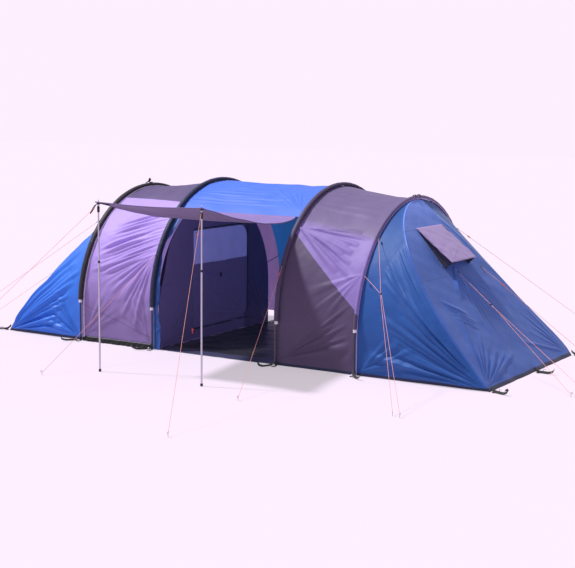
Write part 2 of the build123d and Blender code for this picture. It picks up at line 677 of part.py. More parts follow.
# x, y of each webbing anchor at the hem and the way its tail points
BASE_ANCHORS = [
    (HOOP_X[hoop], way * (HOOP_HALF_WIDTH + HOOP_STRAP_OUT), Vector(0.15, way, 0).normalized())
    for hoop in range(len(HOOP_X))
    for way in (-1, 1)
]
for side in (LEFT, RIGHT):
    hem_x = END_X[side] + outward(side) * END_STRAP_OUT
    for corner in (-1, 0, 1):
        y = END_CENTRE_Y + corner * (END_HALF_WIDTH - CORNER_STRAP_IN)
        BASE_ANCHORS.append((hem_x, y, Vector(outward(side), 0.5 * corner, 0).normalized()))

guy_peg_points = {
    (round(end.X), round(end.Y)): (Vector(end.X, end.Y, 0) - Vector(start.X, start.Y, 0)).normalized()
    for start, _, end, _ in GUYLINES.values()
    if end.Z == CORD_PEG_Z
}
PEG_FROM_HEM = 90
PEG_BESIDE_STRAP = 22
with BuildPart() as ground_pegs:
    for (x, y), away in guy_peg_points.items():
        add(peg(x, y, away))
    for x, y, away in BASE_ANCHORS:
        beside = Vector(-away.Y, away.X, 0) * PEG_BESIDE_STRAP
        place = Vector(x, y, 0) + away * PEG_FROM_HEM + beside
        add(peg(place.X, place.Y, away))
save(ground_pegs.part, "ground_pegs")

with BuildPart() as base_straps:
    for x, y, away in BASE_ANCHORS:
        middle = Vector(x, y, 0) + away * STRAP_LENGTH / 2
        with BuildSketch(Plane(middle, x_dir=away, z_dir=(0, 0, 1))):
            Rectangle(STRAP_LENGTH, STRAP_WIDTH)
        extrude(amount=STRAP_THICKNESS)
save(base_straps.part, "base_straps")

with BuildPart() as base_buckles:
    for x, y, away in BASE_ANCHORS:
        middle = Vector(x, y, STRAP_THICKNESS + 0.5) + away * BUCKLE_FROM_HEM
        with BuildSketch(Plane(middle, x_dir=away, z_dir=(0, 0, 1))):
            Rectangle(BUCKLE[1], BUCKLE[0])
            with Locations((-BUCKLE_SLOT_OFFSET, 0), (BUCKLE_SLOT_OFFSET, 0)):
                Rectangle(BUCKLE_SLOT, BUCKLE[0] - 2 * BUCKLE_RAIL, mode=Mode.SUBTRACT)
        extrude(amount=BUCKLE[2])
save(base_buckles.part, "base_buckles")
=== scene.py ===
"""Looks for a tunnel tent on four hoops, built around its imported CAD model.

Metres. +X runs along the tent, -Y is the door side, +Z is up.
"""
import math

import bpy
import numpy as np
from mathutils import Matrix, Vector


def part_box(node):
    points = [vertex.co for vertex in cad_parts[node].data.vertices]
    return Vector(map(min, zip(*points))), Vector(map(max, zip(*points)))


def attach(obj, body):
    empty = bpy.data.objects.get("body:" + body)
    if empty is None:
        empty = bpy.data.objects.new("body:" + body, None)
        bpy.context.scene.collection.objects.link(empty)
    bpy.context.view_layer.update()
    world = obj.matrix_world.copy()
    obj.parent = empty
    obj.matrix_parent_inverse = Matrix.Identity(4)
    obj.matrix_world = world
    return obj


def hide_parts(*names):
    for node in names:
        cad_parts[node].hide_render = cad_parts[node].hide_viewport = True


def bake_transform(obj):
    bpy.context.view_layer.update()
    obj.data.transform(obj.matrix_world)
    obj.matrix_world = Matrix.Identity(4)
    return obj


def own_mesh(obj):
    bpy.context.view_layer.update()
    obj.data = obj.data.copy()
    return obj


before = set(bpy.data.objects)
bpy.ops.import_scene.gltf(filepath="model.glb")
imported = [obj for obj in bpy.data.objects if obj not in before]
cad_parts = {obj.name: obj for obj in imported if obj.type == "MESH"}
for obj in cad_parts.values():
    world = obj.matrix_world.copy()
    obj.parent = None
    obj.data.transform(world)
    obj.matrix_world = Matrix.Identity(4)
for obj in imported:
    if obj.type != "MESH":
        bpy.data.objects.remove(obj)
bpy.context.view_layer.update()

# ---------------------------------------------------------------- sizes from the frame
POLE_RADIUS = 0.008
FLY_INSET = 0.0225                  # the fly lies this far inside the pole centrelines
LEG_SHARE = 0.09                    # share of an arch's length that each straight leg takes
CELL = 0.0125                       # spacing of the cloth grids
CLOTH = 0.0016                      # cloth thickness
FOLD_DEPTH = 1.6                    # scales every fold in the fly and bedrooms
WAIST = 0.026                       # a bay is pulled in this much midway between its hoops
SLEEVE_RADIUS = 0.022
SLEEVE_END_Z = 0.5


class Hoop:
    """One hoop: its place along the tent and the shape of its centreline."""

    def __init__(self, number):
        low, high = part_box(f"hoop_pole_{number}")
        self.x = (low.x + high.x) / 2
        self.half = (high.y - low.y) / 2 - POLE_RADIUS
        self.top = high.z - POLE_RADIUS
        self.spring = self.top - self.half


HOOPS = [Hoop(number) for number in (1, 2, 3, 4)]
SIDE_NAMES = ("left", "right")
OUT = (-1, 1)                       # which way along the tent is outward, on each side
GROUND_X = (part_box("fly_left_end")[0].x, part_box("fly_right_end")[1].x)
END_SLOPE_START = 0.03
END_HALF, END_CENTRE = 1.2, -0.15
WINDOW_Y = (-0.52, 0.08)            # vent opening in an end, across and down the slope
WINDOW_RUN = (0.39, 0.86)
WINDOW_SIZE = (WINDOW_Y[1] - WINDOW_Y[0], WINDOW_RUN[1] - WINDOW_RUN[0])
VENT_Y = sum(WINDOW_Y) / 2
# leg and rise of the half arch, door side and rear, that each end's sides run to at the ground line
END_FILL = (((0.06, 0.27), (0.06, 0.27)), ((0.415, 1.2), (0.05, 0.24)))


def arch(share, half, top, inset=0.0, centre=0.0):
    """y and z at a share of the way round a hoop, from the door-side foot over the crown."""
    spring = top - half
    radius = half - inset
    turn = np.pi * np.clip((share - LEG_SHARE) / (1 - 2 * LEG_SHARE), 0, 1)
    leg = np.clip(np.minimum(share, 1 - share) / LEG_SHARE, 0, 1)
    return centre - radius * np.cos(turn), spring * leg + radius * np.sin(turn)


def share_at(hoop, z):
    """Share of the way round, on the door side, at which a hoop is z high."""
    if z <= hoop.spring:
        return LEG_SHARE * z / hoop.spring
    turn = math.asin((z - hoop.spring) / (hoop.half - FLY_INSET))
    return LEG_SHARE + (1 - 2 * LEG_SHARE) * turn / math.pi


def steps(length, cell=CELL):
    """How many grid points a length takes."""
    return max(int(length / cell), 2) + 1


# ---------------------------------------------------------------- folds in cloth
def fold(flat, start, end, width, height, narrow=0.7):
    """Height of one fold: a crest with a shallow dip on each side, narrow at its start."""
    start, end = np.array(start, float), np.array(end, float)
    span = end - start
    along = np.clip(((flat - start) @ span) / (span @ span), 0, 1)
    away = np.linalg.norm(flat - start - along[..., None] * span, axis=-1)
    spread = (away / (width * (narrow + (1.3 - narrow) * along))) ** 2
    return height * np.sin(np.pi * along) ** 0.7 * (1 - 0.8 * spread) * np.exp(-spread)


def fan(flat, apex, ends, count, width, height, seed):
    """Folds that spread from an apex to points between two ends."""
    rng = np.random.default_rng(seed)
    first, last = np.array(ends[0], float), np.array(ends[1], float)
    apex = np.array(apex, float)
    total = 0
    for k in range(count):
        place = (k + rng.uniform(0.15, 0.85)) / count
        target = apex + (first + (last - first) * place - apex) * rng.uniform(0.65, 1)
        size = rng.uniform(0.6, 1.1)
        total = total + fold(flat, apex, target, width * size, height * size * rng.uniform(0.6, 1), 0.12)
    return total


def sweep_folds(flat, starts, ends, count, width, height, seed):
    """Nearly parallel folds whose ends slide between two starts and two ends."""
    rng = np.random.default_rng(seed)
    a, b = (np.array(point, float) for point in starts)
    c, d = (np.array(point, float) for point in ends)
    total = 0
    for k in range(count):
        place = (k + rng.uniform(0.2, 0.8)) / count
        start = a + (b - a) * place
        end = c + (d - c) * min(max(place + rng.uniform(-0.05, 0.05), 0), 1)
        reach = rng.uniform(0.7, 1)
        stop = start + (end - start) * reach
        total = total + fold(flat, start, stop, width * rng.uniform(0.7, 1.2), height * rng.uniform(0.5, 1))
    return total


def rumple(flat, size, height, seed, count=16):
    """Slack, uneven cloth: a seeded sum of long and short waves."""
    rng = np.random.default_rng(seed)
    total = np.zeros(flat.shape[:-1])
    for _ in range(count):
        turn = rng.uniform(0, 2 * np.pi)
        length = size * rng.uniform(0.35, 1.6)
        wave = flat @ np.array((math.cos(turn), math.sin(turn))) / length
        bend = 0.8 * np.sin(flat @ np.array((-math.sin(turn), math.cos(turn))) / (1.7 * length) + turn)
        total += np.sin(2 * np.pi * wave + bend + rng.uniform(0, 6.28)) * length / size
    return height * total / math.sqrt(count)


def grid_normals(points):
    """Unit normals of a grid of points."""
    down = np.gradient(points, axis=0)
    across = np.gradient(points, axis=1)
    normal = np.cross(across, down)
    size = np.linalg.norm(normal, axis=-1, keepdims=True)
    return normal / np.maximum(size, 1e-9)


def arc_lengths(points):
    """Distance along each column of a grid from its first row."""
    step = np.linalg.norm(np.diff(points, axis=0), axis=-1)
    return np.concatenate([np.zeros((1, points.shape[1])), np.cumsum(step, axis=0)])


# ---------------------------------------------------------------- materials
def linear(colour):
    """An sRGB colour of 0 to 255 in Blender's linear values."""
    values = [channel / 255 for channel in colour]
    return [v / 12.92 if v <= 0.04045 else ((v + 0.055) / 1.055) ** 2.4 for v in values] + [1.0]


class Shader:
    """A node material under construction."""

    def __init__(self, name):
        self.material = bpy.data.materials.new(name)
        self.material.use_nodes = True
        self.nodes = self.material.node_tree.nodes
        self.links = self.material.node_tree.links
        self.principled = self.nodes["Principled BSDF"]
        self.place = self.nodes.new("ShaderNodeTexCoord").outputs["Object"]

    def put(self, socket, value):
        """Link or set one input."""
        if isinstance(value, bpy.types.NodeSocket):
            self.links.new(value, socket)
        else:
            socket.default_value = value

    def math(self, operation, a, b=0.0, clamp=False):
        node = self.nodes.new("ShaderNodeMath")
        node.operation = operation
        node.use_clamp = clamp
        self.put(node.inputs[0], a)
        self.put(node.inputs[1], b)
        return node.outputs[0]

    def stretched(self, scale, turn=0.0):
        """Object coordinates, scaled and turned about Z."""
        node = self.nodes.new("ShaderNodeMapping")
        node.inputs["Scale"].default_value = scale
        node.inputs["Rotation"].default_value = (0, 0, turn)
        self.put(node.inputs["Vector"], self.place)
        return node.outputs[0]

    def noise(self, scale, detail=3.0, place=None, roughness=0.55):
        node = self.nodes.new("ShaderNodeTexNoise")
        node.inputs["Scale"].default_value = scale
        node.inputs["Detail"].default_value = detail
        node.inputs["Roughness"].default_value = roughness
        self.put(node.inputs["Vector"], place or self.place)
        return node.outputs["Fac"]

    def wave(self, scale, direction, distortion=0.0):
        node = self.nodes.new("ShaderNodeTexWave")
        node.bands_direction = direction
        node.inputs["Scale"].default_value = scale
        node.inputs["Distortion"].default_value = distortion
        self.put(node.inputs["Vector"], self.place)
        return node.outputs["Fac"]

    def beyond(self, normal, offset, softness):
        """0 on the near side of the plane normal . place = offset, and 1 beyond it."""
        node = self.nodes.new("ShaderNodeVectorMath")
        node.operation = "DOT_PRODUCT"
        self.put(node.inputs[0], self.place)
        node.inputs[1].default_value = normal
        past = self.math("SUBTRACT", node.outputs["Value"], offset - softness / 2)
        return self.math("DIVIDE", past, softness, clamp=True)

    def mix(self, factor, a, b, blend="MIX"):
        node = self.nodes.new("ShaderNodeMix")
        node.data_type = "RGBA"
        node.blend_type = blend
        self.put(node.inputs["Factor"], factor)
        self.put(node.inputs[6], a)
        self.put(node.inputs[7], b)
        return node.outputs[2]

    def shade(self, colour, factor, low, high):
        """colour times a value between low and high, as factor goes from 0 to 1."""
        node = self.nodes.new("ShaderNodeMapRange")
        self.put(node.inputs["Value"], factor)
        node.inputs["To Min"].default_value = low
        node.inputs["To Max"].default_value = high
        grey = self.nodes.new("ShaderNodeCombineColor")
        for channel in grey.inputs:
            self.links.new(node.outputs[0], channel)
        return self.mix(1.0, colour, grey.outputs[0], "MULTIPLY")

    def bump(self, height, strength, distance, under=None):
        node = self.nodes.new("ShaderNodeBump")
        node.inputs["Strength"].default_value = strength
        node.inputs["Distance"].default_value = distance
        self.put(node.inputs["Height"], height)
        if under is not None:
            self.put(node.inputs["Normal"], under)
        return node.outputs[0]

    def finish(self, colour, roughness, normal=None, **sockets):
        self.put(self.principled.inputs["Base Color"], colour)
        self.put(self.principled.inputs["Roughness"], roughness)
        if normal is not None:
            self.put(self.principled.inputs["Normal"], normal)
        for name, value in sockets.items():
            self.principled.inputs[name.replace("_", " ")].default_value = value
        return self.material


SEAM_EDGE = 0.004                   # how softly a seam's line starts and stops


def cloth(name, colour, regions=(), seams=(), painted_glow=0.0, creases=0.35, stretch=(1, 1, 1), gloss=0.56):
    """Proofed polyester: a fine weave, creases whose noise also shades the colour as painted crease shade,
    and regions of other colours, some of them painted light and shade. Any glow is emission that stands in
    for light falling on and through the cloth.

    A region is (colour, planes) and a plane (normal, offset, softness). A seam is
    (normal, offset, width, planes), with the planes that it lies beyond.
    """
    shader = Shader(name)
    base = linear(colour)
    for panel_colour, planes in regions:
        inside = 1.0
        for normal, offset, softness in planes:
            inside = shader.math("MULTIPLY", shader.beyond(normal, offset, softness), inside)
        base = shader.mix(inside, base, linear(panel_colour))
    for normal, offset, width, limits in seams:
        begun, ended = (shader.beyond(normal, edge, SEAM_EDGE) for edge in (offset, offset + width))
        line = shader.math("SUBTRACT", begun, ended)
        for limit in limits:
            line = shader.math("MULTIPLY", line, shader.beyond(*limit))
        base = shader.shade(base, line, 1.0, 0.62)
    cloudy = shader.noise(2.3, 4)
    base = shader.shade(base, cloudy, 0.9, 1.1)
    creased = shader.noise(9.0, 5, shader.stretched(stretch, 0.3), 0.62)
    # painted crease shade: the crease bump's noise darkens the colour in its hollows and lightens its crests
    base = shader.shade(base, creased, 0.93, 1.07)
    weave = shader.math("ADD", shader.wave(420, "X"), shader.wave(420, "Z"))
    normal = shader.bump(weave, 0.12, 0.0006)
    normal = shader.bump(creased, creases, 0.012, normal)
    sockets = {"Sheen_Weight": 0.12, "Specular_IOR_Level": 0.32}
    # painted glow: emission in the cloth's own colour stands in for light falling on and through it
    if painted_glow:
        shader.put(shader.principled.inputs["Emission Color"], base)
        sockets["Emission_Strength"] = painted_glow
    return shader.finish(base, gloss, normal, **sockets)


def plastic(name, colour, roughness=0.42, scuff=0.25, painted_glow=0.0):
    """Moulded plastic with a faint grain and scuffs."""
    shader = Shader(name)
    scuffs = shader.noise(160, 4)
    base = shader.shade(linear(colour), scuffs, 1 - scuff, 1 + scuff)
    # painted glow: emission in the plastic's own colour, at the given strength, brightens it as if lit
    shader.put(shader.principled.inputs["Emission Color"], base)
    bump = shader.bump(shader.noise(900, 2), 0.2, 0.0004)
    return shader.finish(base, roughness, bump, Emission_Strength=painted_glow)


def metal(name, colour, roughness=0.28):
    """Drawn tube: long faint streaks and a little dulling."""
    shader = Shader(name)
    streaks = shader.noise(60, 4, shader.stretched((30, 30, 1)))
    base = shader.shade(linear(colour), streaks, 0.85, 1.1)
    return shader.finish(base, roughness, shader.bump(streaks, 0.1, 0.0004), Metallic=0.9)


def webbing(name, colour):
    """Woven tape with a diagonal rib."""
    shader = Shader(name)
    rib = shader.wave(170, "DIAGONAL", 0.4)
    base = shader.shade(linear(colour), rib, 0.7, 1.25)
    base = shader.shade(base, shader.noise(30, 3), 0.8, 1.2)
    return shader.finish(base, 0.75, shader.bump(rib, 0.5, 0.0009), Sheen_Weight=0.2)


def netting(name, colour, painted_glow=0.0):
    """Insect mesh: a fine square net with dark gaps."""
    shader = Shader(name)
    threads = shader.math("MAXIMUM", shader.wave(75, "Y"), shader.wave(75, "Z"))
    base = shader.shade(linear(colour), threads, 0.35, 1.3)
    base = shader.shade(base, shader.noise(6, 3), 0.85, 1.15)
    sockets = {"Sheen_Weight": 0.2}
    # painted glow: emission in the net's own colour stands in for light falling on it
    if painted_glow:
        shader.put(shader.principled.inputs["Emission Color"], base)
        sockets["Emission_Strength"] = painted_glow
    return shader.finish(base, 0.8, shader.bump(threads, 0.4, 0.001), **sockets)


def braid(name, colour, fleck):
    """Braided cord with a lighter fleck."""
    shader = Shader(name)
    plait = shader.wave(120, "DIAGONAL", 1.5)
    base = shader.mix(plait, linear(colour), linear(fleck))
    base = shader.shade(base, shader.noise(25, 2), 0.85, 1.15)
    return shader.finish(base, 0.65, shader.bump(plait, 0.4, 0.0008))


# Lit and shaded tones of the bays' one cloth, painted into the colour: the lilac and the wedge colour are
# painted sheen where light falls, and the mauve and dark tones are painted shade
LILAC, LIT_WEDGE, MAUVE, DARK = (176, 148, 228), (136, 115, 182), (108, 92, 136), (82, 67, 100)
# END_BLUE and SIDE_BLUE are one blue in painted light and shade: the right end's face is painted lighter as
# lit, and its sides darker
END_BLUE, SIDE_BLUE, NAVY = (58, 98, 182), (28, 80, 154), (34, 40, 74)
LEFT_ROOF = ((0, 0, 1), 1.685, 0.006)
# planes of the right bay's painted lit wedge: a seam along its lower edge, and a soft painted shading edge
# along its upper edge
WEDGE_LOW = ((0.8, 0, 1), 2.154, 0.006)
WEDGE_HIGH = ((0.153, 0, 1), 1.70, 0.07)
HEM = ((0, 0, -1), -0.035, 0.006)
# painted shade: the left bay's cloth darkens towards its hem, fading in around 0.75 m high
SHADED_LOW_PART = ((0, 0, -1), -0.75, 0.8)
FRONT = ((0, -1, 0), 0.0, 0.01)
FRONT_PART = ((0, -1, 0), 0.55, 0.01)
SLOPE = (1.8025, 0, 1.49)           # normal of the right end's sloping face
RIGHT_FACE = (SLOPE, 1.8025 * 3.38 - 0.03, 0.02)
# painted light: the top of the right end's face made lighter, as lit from above
END_TOP_LIT = (104, 138, 226)

# left bay: lilac painted as lit sheen, a darker roof tone above the roof line, painted shade towards the hem,
# and a navy hem
fly_left = cloth(
    "fly_left_bay",
    LILAC,
    [((128, 106, 162), [SHADED_LOW_PART]), ((84, 66, 116), [LEFT_ROOF]), (NAVY, [HEM])],
    [((0.3, 0, 1), -0.128, 0.008, [FRONT])],
)
# painted glow: emission on the left bay's inner face stands in for light coming through the fly
fly_left_lining = cloth("fly_left_lining", (150, 122, 168), painted_glow=0.3)
fly_middle = cloth(
    "fly_centre",
    (66, 112, 226),
    [((44, 86, 160), [((0, 0, -1), -1.6, 0.006)])],
    stretch=(0.25, 1, 1),
)
# painted glow: emission on the centre panel's inner face stands in for light coming through the fly
fly_middle_lining = cloth("fly_centre_lining", (26, 90, 154), painted_glow=0.5)
# right bay: a dark tone painted as shade, a wedge painted as lit sheen above the seam, and a mauve roof tone
# shaded in above it
fly_right = cloth(
    "fly_right_bay",
    DARK,
    [(LIT_WEDGE, [WEDGE_LOW]), (MAUVE, [WEDGE_HIGH]), (NAVY, [HEM])],
    [((0.8, 0, 1), 2.150, 0.006, [FRONT])],
)
fly_right_lining = cloth("fly_right_lining", (70, 58, 92))
fly_end_left = cloth("fly_left_end", (44, 112, 218), [(NAVY, [HEM])], gloss=0.48)
# right end: sides in the painted shaded blue, the face in the painted lit blue and lighter again at the top
# as painted light, a navy hem and two seams
fly_end_right = cloth(
    "fly_right_end",
    SIDE_BLUE,
    [(END_BLUE, [RIGHT_FACE]), (END_TOP_LIT, [RIGHT_FACE, ((0, 0, 1), 1.45, 0.5)]), (NAVY, [HEM])],
    [((0, 0, 1), 1.505, 0.005, [RIGHT_FACE, FRONT_PART]), ((0, 0, 1), 1.03, 0.005, [RIGHT_FACE, FRONT_PART])],
)
fly_end_lining = cloth("fly_end_lining", (40, 66, 130))
skirt_cloth = cloth("skirt_cloth", (16, 16, 20), gloss=0.4)
floor_cloth = cloth(
    "floor_cloth",
    (12, 12, 18),
    [((54, 54, 88), [((0, -1, 0), 1.16, 0.004)])],
    gloss=0.32,
    creases=0.6,
)
# painted glow: emission brightens the bedroom walls, facade, door and door mesh, which stand in shade
bedroom_side = cloth("bedroom_side", (172, 148, 214), painted_glow=0.35)
facade_cloth = cloth("facade_cloth", (92, 80, 134), [((66, 56, 104), [((0, 1, 0), 0.49, 0.02)])], painted_glow=0.12)
door_cloth = cloth("door_cloth", (98, 86, 142), painted_glow=0.12)
door_mesh = netting("door_mesh", (146, 146, 222), 0.2)
canopy_top = cloth("canopy_top", (138, 114, 180))
canopy_under = cloth("canopy_under", (104, 82, 128))
flap_cloth = cloth("flap_cloth", (164, 141, 192))
gusset_mesh = netting("gusset_mesh", (52, 48, 74))
vent_netting = netting("vent_netting", (40, 42, 66))
sleeve_black = cloth("sleeve_black", (34, 30, 44), creases=0.6)
sleeve_navy = cloth("sleeve_navy", (34, 40, 74), creases=0.6)
sleeve_mauve = cloth("sleeve_mauve", (72, 58, 92), creases=0.6)
piping_white = webbing("piping_white", (226, 208, 236))
piping_lilac = webbing("piping_lilac", (172, 146, 206))
piping_brown = webbing("piping_brown", (128, 98, 116))
piping_navy = webbing("piping_navy", (26, 32, 66))
strap_webbing = webbing("strap_webbing", (20, 19, 22))
steel = metal("steel", (196, 190, 204))
fibreglass = plastic("fibreglass", (46, 44, 50), 0.35)
black_plastic = plastic("black_plastic", (22, 22, 26))
white_plastic = plastic("white_plastic", (226, 218, 226))
orange_plastic = plastic("orange_plastic", (232, 96, 66))
# painted glow: emission brightens the zip pulls as if lit
pull_plastic = plastic("pull_plastic", (236, 92, 70), painted_glow=0.5)
zip_tape = webbing("zip_tape", (22, 20, 30))
cord_braid = braid("cord_braid", (232, 122, 98), (244, 190, 172))

# ---------------------------------------------------------------- mesh helpers


def mesh_object(name, vertices, faces, materials):
    """A smooth-shaded mesh object."""
    mesh = bpy.data.meshes.new(name)
    mesh.from_pydata(vertices, [], faces)
    mesh.validate()
    for material in materials:
        mesh.materials.append(material)
    mesh.polygons.foreach_set("use_smooth", [True] * len(mesh.polygons))
    piece = bpy.data.objects.new(name, mesh)
    bpy.context.scene.collection.objects.link(piece)
    return piece


def quads_of(rows, columns, first=0, skip=None):
    """Quads of a grid; skip is a mask of the cells left open."""
    index = np.arange(rows * columns).reshape(rows, columns) + first
    quads = np.stack([index[:-1, :-1], index[:-1, 1:], index[1:, 1:], index[1:, :-1]], -1)
    keep = np.ones(quads.shape[:2], bool) if skip is None else ~skip
    return quads[keep].tolist()


def sheet_object(name, grids, outside, lining=None, thickness=CLOTH, skips=None):
    """Cloth from one or more grids of points, joined where they meet.

    The grids' normals point out of the tent, and the lining shows on the other side.
    """
    vertices, faces = [], []
    for number, points in enumerate(grids):
        skip = skips[number] if skips else None
        faces += quads_of(*points.shape[:2], first=len(vertices), skip=skip)
        vertices += points.reshape(-1, 3).tolist()
    piece = mesh_object(name, vertices, faces, [outside, lining or outside])
    if len(grids) > 1:
        weld = piece.modifiers.new("weld", "WELD")
        weld.merge_threshold = 0.0008
    solid = piece.modifiers.new("solid", "SOLIDIFY")
    solid.thickness = thickness
    solid.offset = -1
    solid.material_offset = 1
    solid.material_offset_rim = 0
    return piece


def tube(name, path, radius, material, sides=10, wide=1.0):
    """A tube along a path, wide times as broad as it is deep; radius may vary along it."""
    path = np.array(path, float)
    tangent = np.gradient(path, axis=0)
    tangent /= np.linalg.norm(tangent, axis=1, keepdims=True)
    reference = np.eye(3)[np.argmin(np.abs(tangent).max(axis=0))]
    side = np.cross(tangent, reference)
    side /= np.linalg.norm(side, axis=1, keepdims=True)
    up = np.cross(side, tangent)
    turn = np.linspace(0, 2 * np.pi, sides, endpoint=False)
    radius = np.broadcast_to(radius, len(path))[:, None, None]
    ring = side[:, None] * np.cos(turn)[None, :, None] + wide * up[:, None] * np.sin(turn)[None, :, None]
    rings = path[:, None] + radius * ring
    count = len(path)
    faces = [
        (i * sides + k, (i + 1) * sides + k, (i + 1) * sides + (k + 1) % sides, i * sides + (k + 1) % sides)
        for i in range(count - 1)
        for k in range(sides)
    ]
    faces.append(tuple(range(sides)))
    faces.append(tuple(reversed(range((count - 1) * sides, count * sides))))
    return mesh_object(name, rings.reshape(-1, 3).tolist(), faces, [material])


def curve_through(points, count=24):
    """Points on a smooth curve through the given ones."""
    points = np.array(points, float)
    padded = np.concatenate([[2 * points[0] - points[1]], points, [2 * points[-1] - points[-2]]])
    place = np.linspace(0, len(points) - 1, count)
    part = np.minimum(place.astype(int), len(points) - 2)
    t = (place - part)[:, None]
    p0, p1, p2, p3 = (padded[part + k] for k in range(4))
    return 0.5 * (
        2 * p1 + (p2 - p0) * t + (2 * p0 - 5 * p1 + 4 * p2 - p3) * t**2 + (3 * p1 - p0 - 3 * p2 + p3) * t**3
    )


def ribbon_grid(path, across, width):
    """A grid for a flat strap along a path; across is the direction of its width."""
    across = np.array(across, float)
    across /= np.linalg.norm(across)
    offsets = np.linspace(-width / 2, width / 2, 4)
    return np.array(path)[:, None] + offsets[None, :, None] * across


def joined(pieces, name):
    """Several meshes as one piece."""
    bpy.ops.object.select_all(action="DESELECT")
    for piece in pieces:
        piece.select_set(True)
    bpy.context.view_layer.objects.active = pieces[0]
    bpy.ops.object.join()
    piece = bpy.context.view_layer.objects.active
    piece.name = name
    piece.select_set(False)
    return piece


def repaint(node, material):
    """Give a CAD node that stays visible its material."""
    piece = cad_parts[node]
    piece.data.materials.clear()
    piece.data.materials.append(material)


def place_piece(piece, body, slot, *nodes):
    """Ride and replaced nodes of a new piece. Its slot is not used."""
    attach(piece, body)
    if nodes:
        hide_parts(*nodes)


# ---------------------------------------------------------------- camera
CAMERA_PLACE = (8.4612, -13.4937, 2.8382)
AZIMUTH, ELEVATION, ROLL = math.radians(31.627), math.radians(7.7), math.radians(0.531)


def add_camera():
    """The camera at the viewing angle."""
    forward = Vector((-math.sin(AZIMUTH), math.cos(AZIMUTH), 0)) * math.cos(ELEVATION)
    forward.z = -math.sin(ELEVATION)
    right = Vector((math.cos(AZIMUTH), math.sin(AZIMUTH), 0))
    up = right.cross(forward)
    rolled_right = right * math.cos(ROLL) + up * math.sin(ROLL)
    rolled_up = up * math.cos(ROLL) - right * math.sin(ROLL)
    data = bpy.data.cameras.new("camera")
    data.lens = 82.63
    data.sensor_width = 36
    data.clip_end = 200
    camera = bpy.data.objects.new("camera", data)
    axes = Matrix((rolled_right, rolled_up, -forward)).transposed()
    camera.matrix_world = Matrix.Translation(CAMERA_PLACE) @ axes.to_4x4()
    bpy.context.scene.collection.objects.link(camera)
    bpy.context.scene.camera = camera


add_camera()

# ---------------------------------------------------------------- guylines
CORD_DIAMETER = 0.004
STIFF_END = 6 * CORD_DIAMETER
AWNING_RUNNER_AT = 0.30             # how far along its guyline the awning's runner sits


def direction(start, end):
    return (Vector(end) - Vector(start)).normalized()


def hoop_anchor(number, z, way):
    """A point on a hoop's centreline; way is -1 on the door side."""
    hoop = HOOPS[number - 1]
    rise = max(z - hoop.spring, 0)
    return Vector((hoop.x, way * math.sqrt(hoop.half**2 - rise**2), z))


def slope_point(side, run, y):
    """A point on a sloping end's outer face; side is 0 on the left and 1 on the right."""
    hoop = HOOPS[0] if side == 0 else HOOPS[3]
    top = Vector((hoop.x + OUT[side] * END_SLOPE_START, 0, hoop.top - FLY_INSET))
    foot = Vector((GROUND_X[side], 0, 0))
    point = top + (foot - top).normalized() * run
    point.y = y
    return point


CORD_PEG_Z = 0.024
# how far a cord's end stops short of a low or high hoop anchor, a fly panel, a peg and a knot
LOW, HIGH, PANEL, PEG, KNOT = 0.075, 0.130, 0.045, 0.0055, 0.0113
LEG_SPREAD = 0.005
FRONT_JUNCTION, END_JUNCTION = Vector((2.402, -1.874, 0.979)), Vector((3.029, -0.544, 0.761))
CANOPY_CORNERS = [Vector((x, -2.735, 1.796)) for x in (-0.510, 0.820)]


def peg(x, y):
    return Vector((x, y, CORD_PEG_Z))


FRONT_LEG_PEGS = (peg(3.036, -2.810), peg(3.127, -2.843))
END_LEG_PEGS = (peg(4.141, -1.101), peg(4.440, -1.250))


def leg_starts(junction, pegs, first_way):
    """Starts, side by side, of the two legs that run from a junction to a pair of pegs."""
    middle = (pegs[0] + pegs[1]) / 2
    ahead = Vector((middle.x - junction.x, middle.y - junction.y, 0)).normalized()
    beside = Vector((-ahead.y, ahead.x, 0)) * LEG_SPREAD * first_way
    return junction + beside, junction - beside


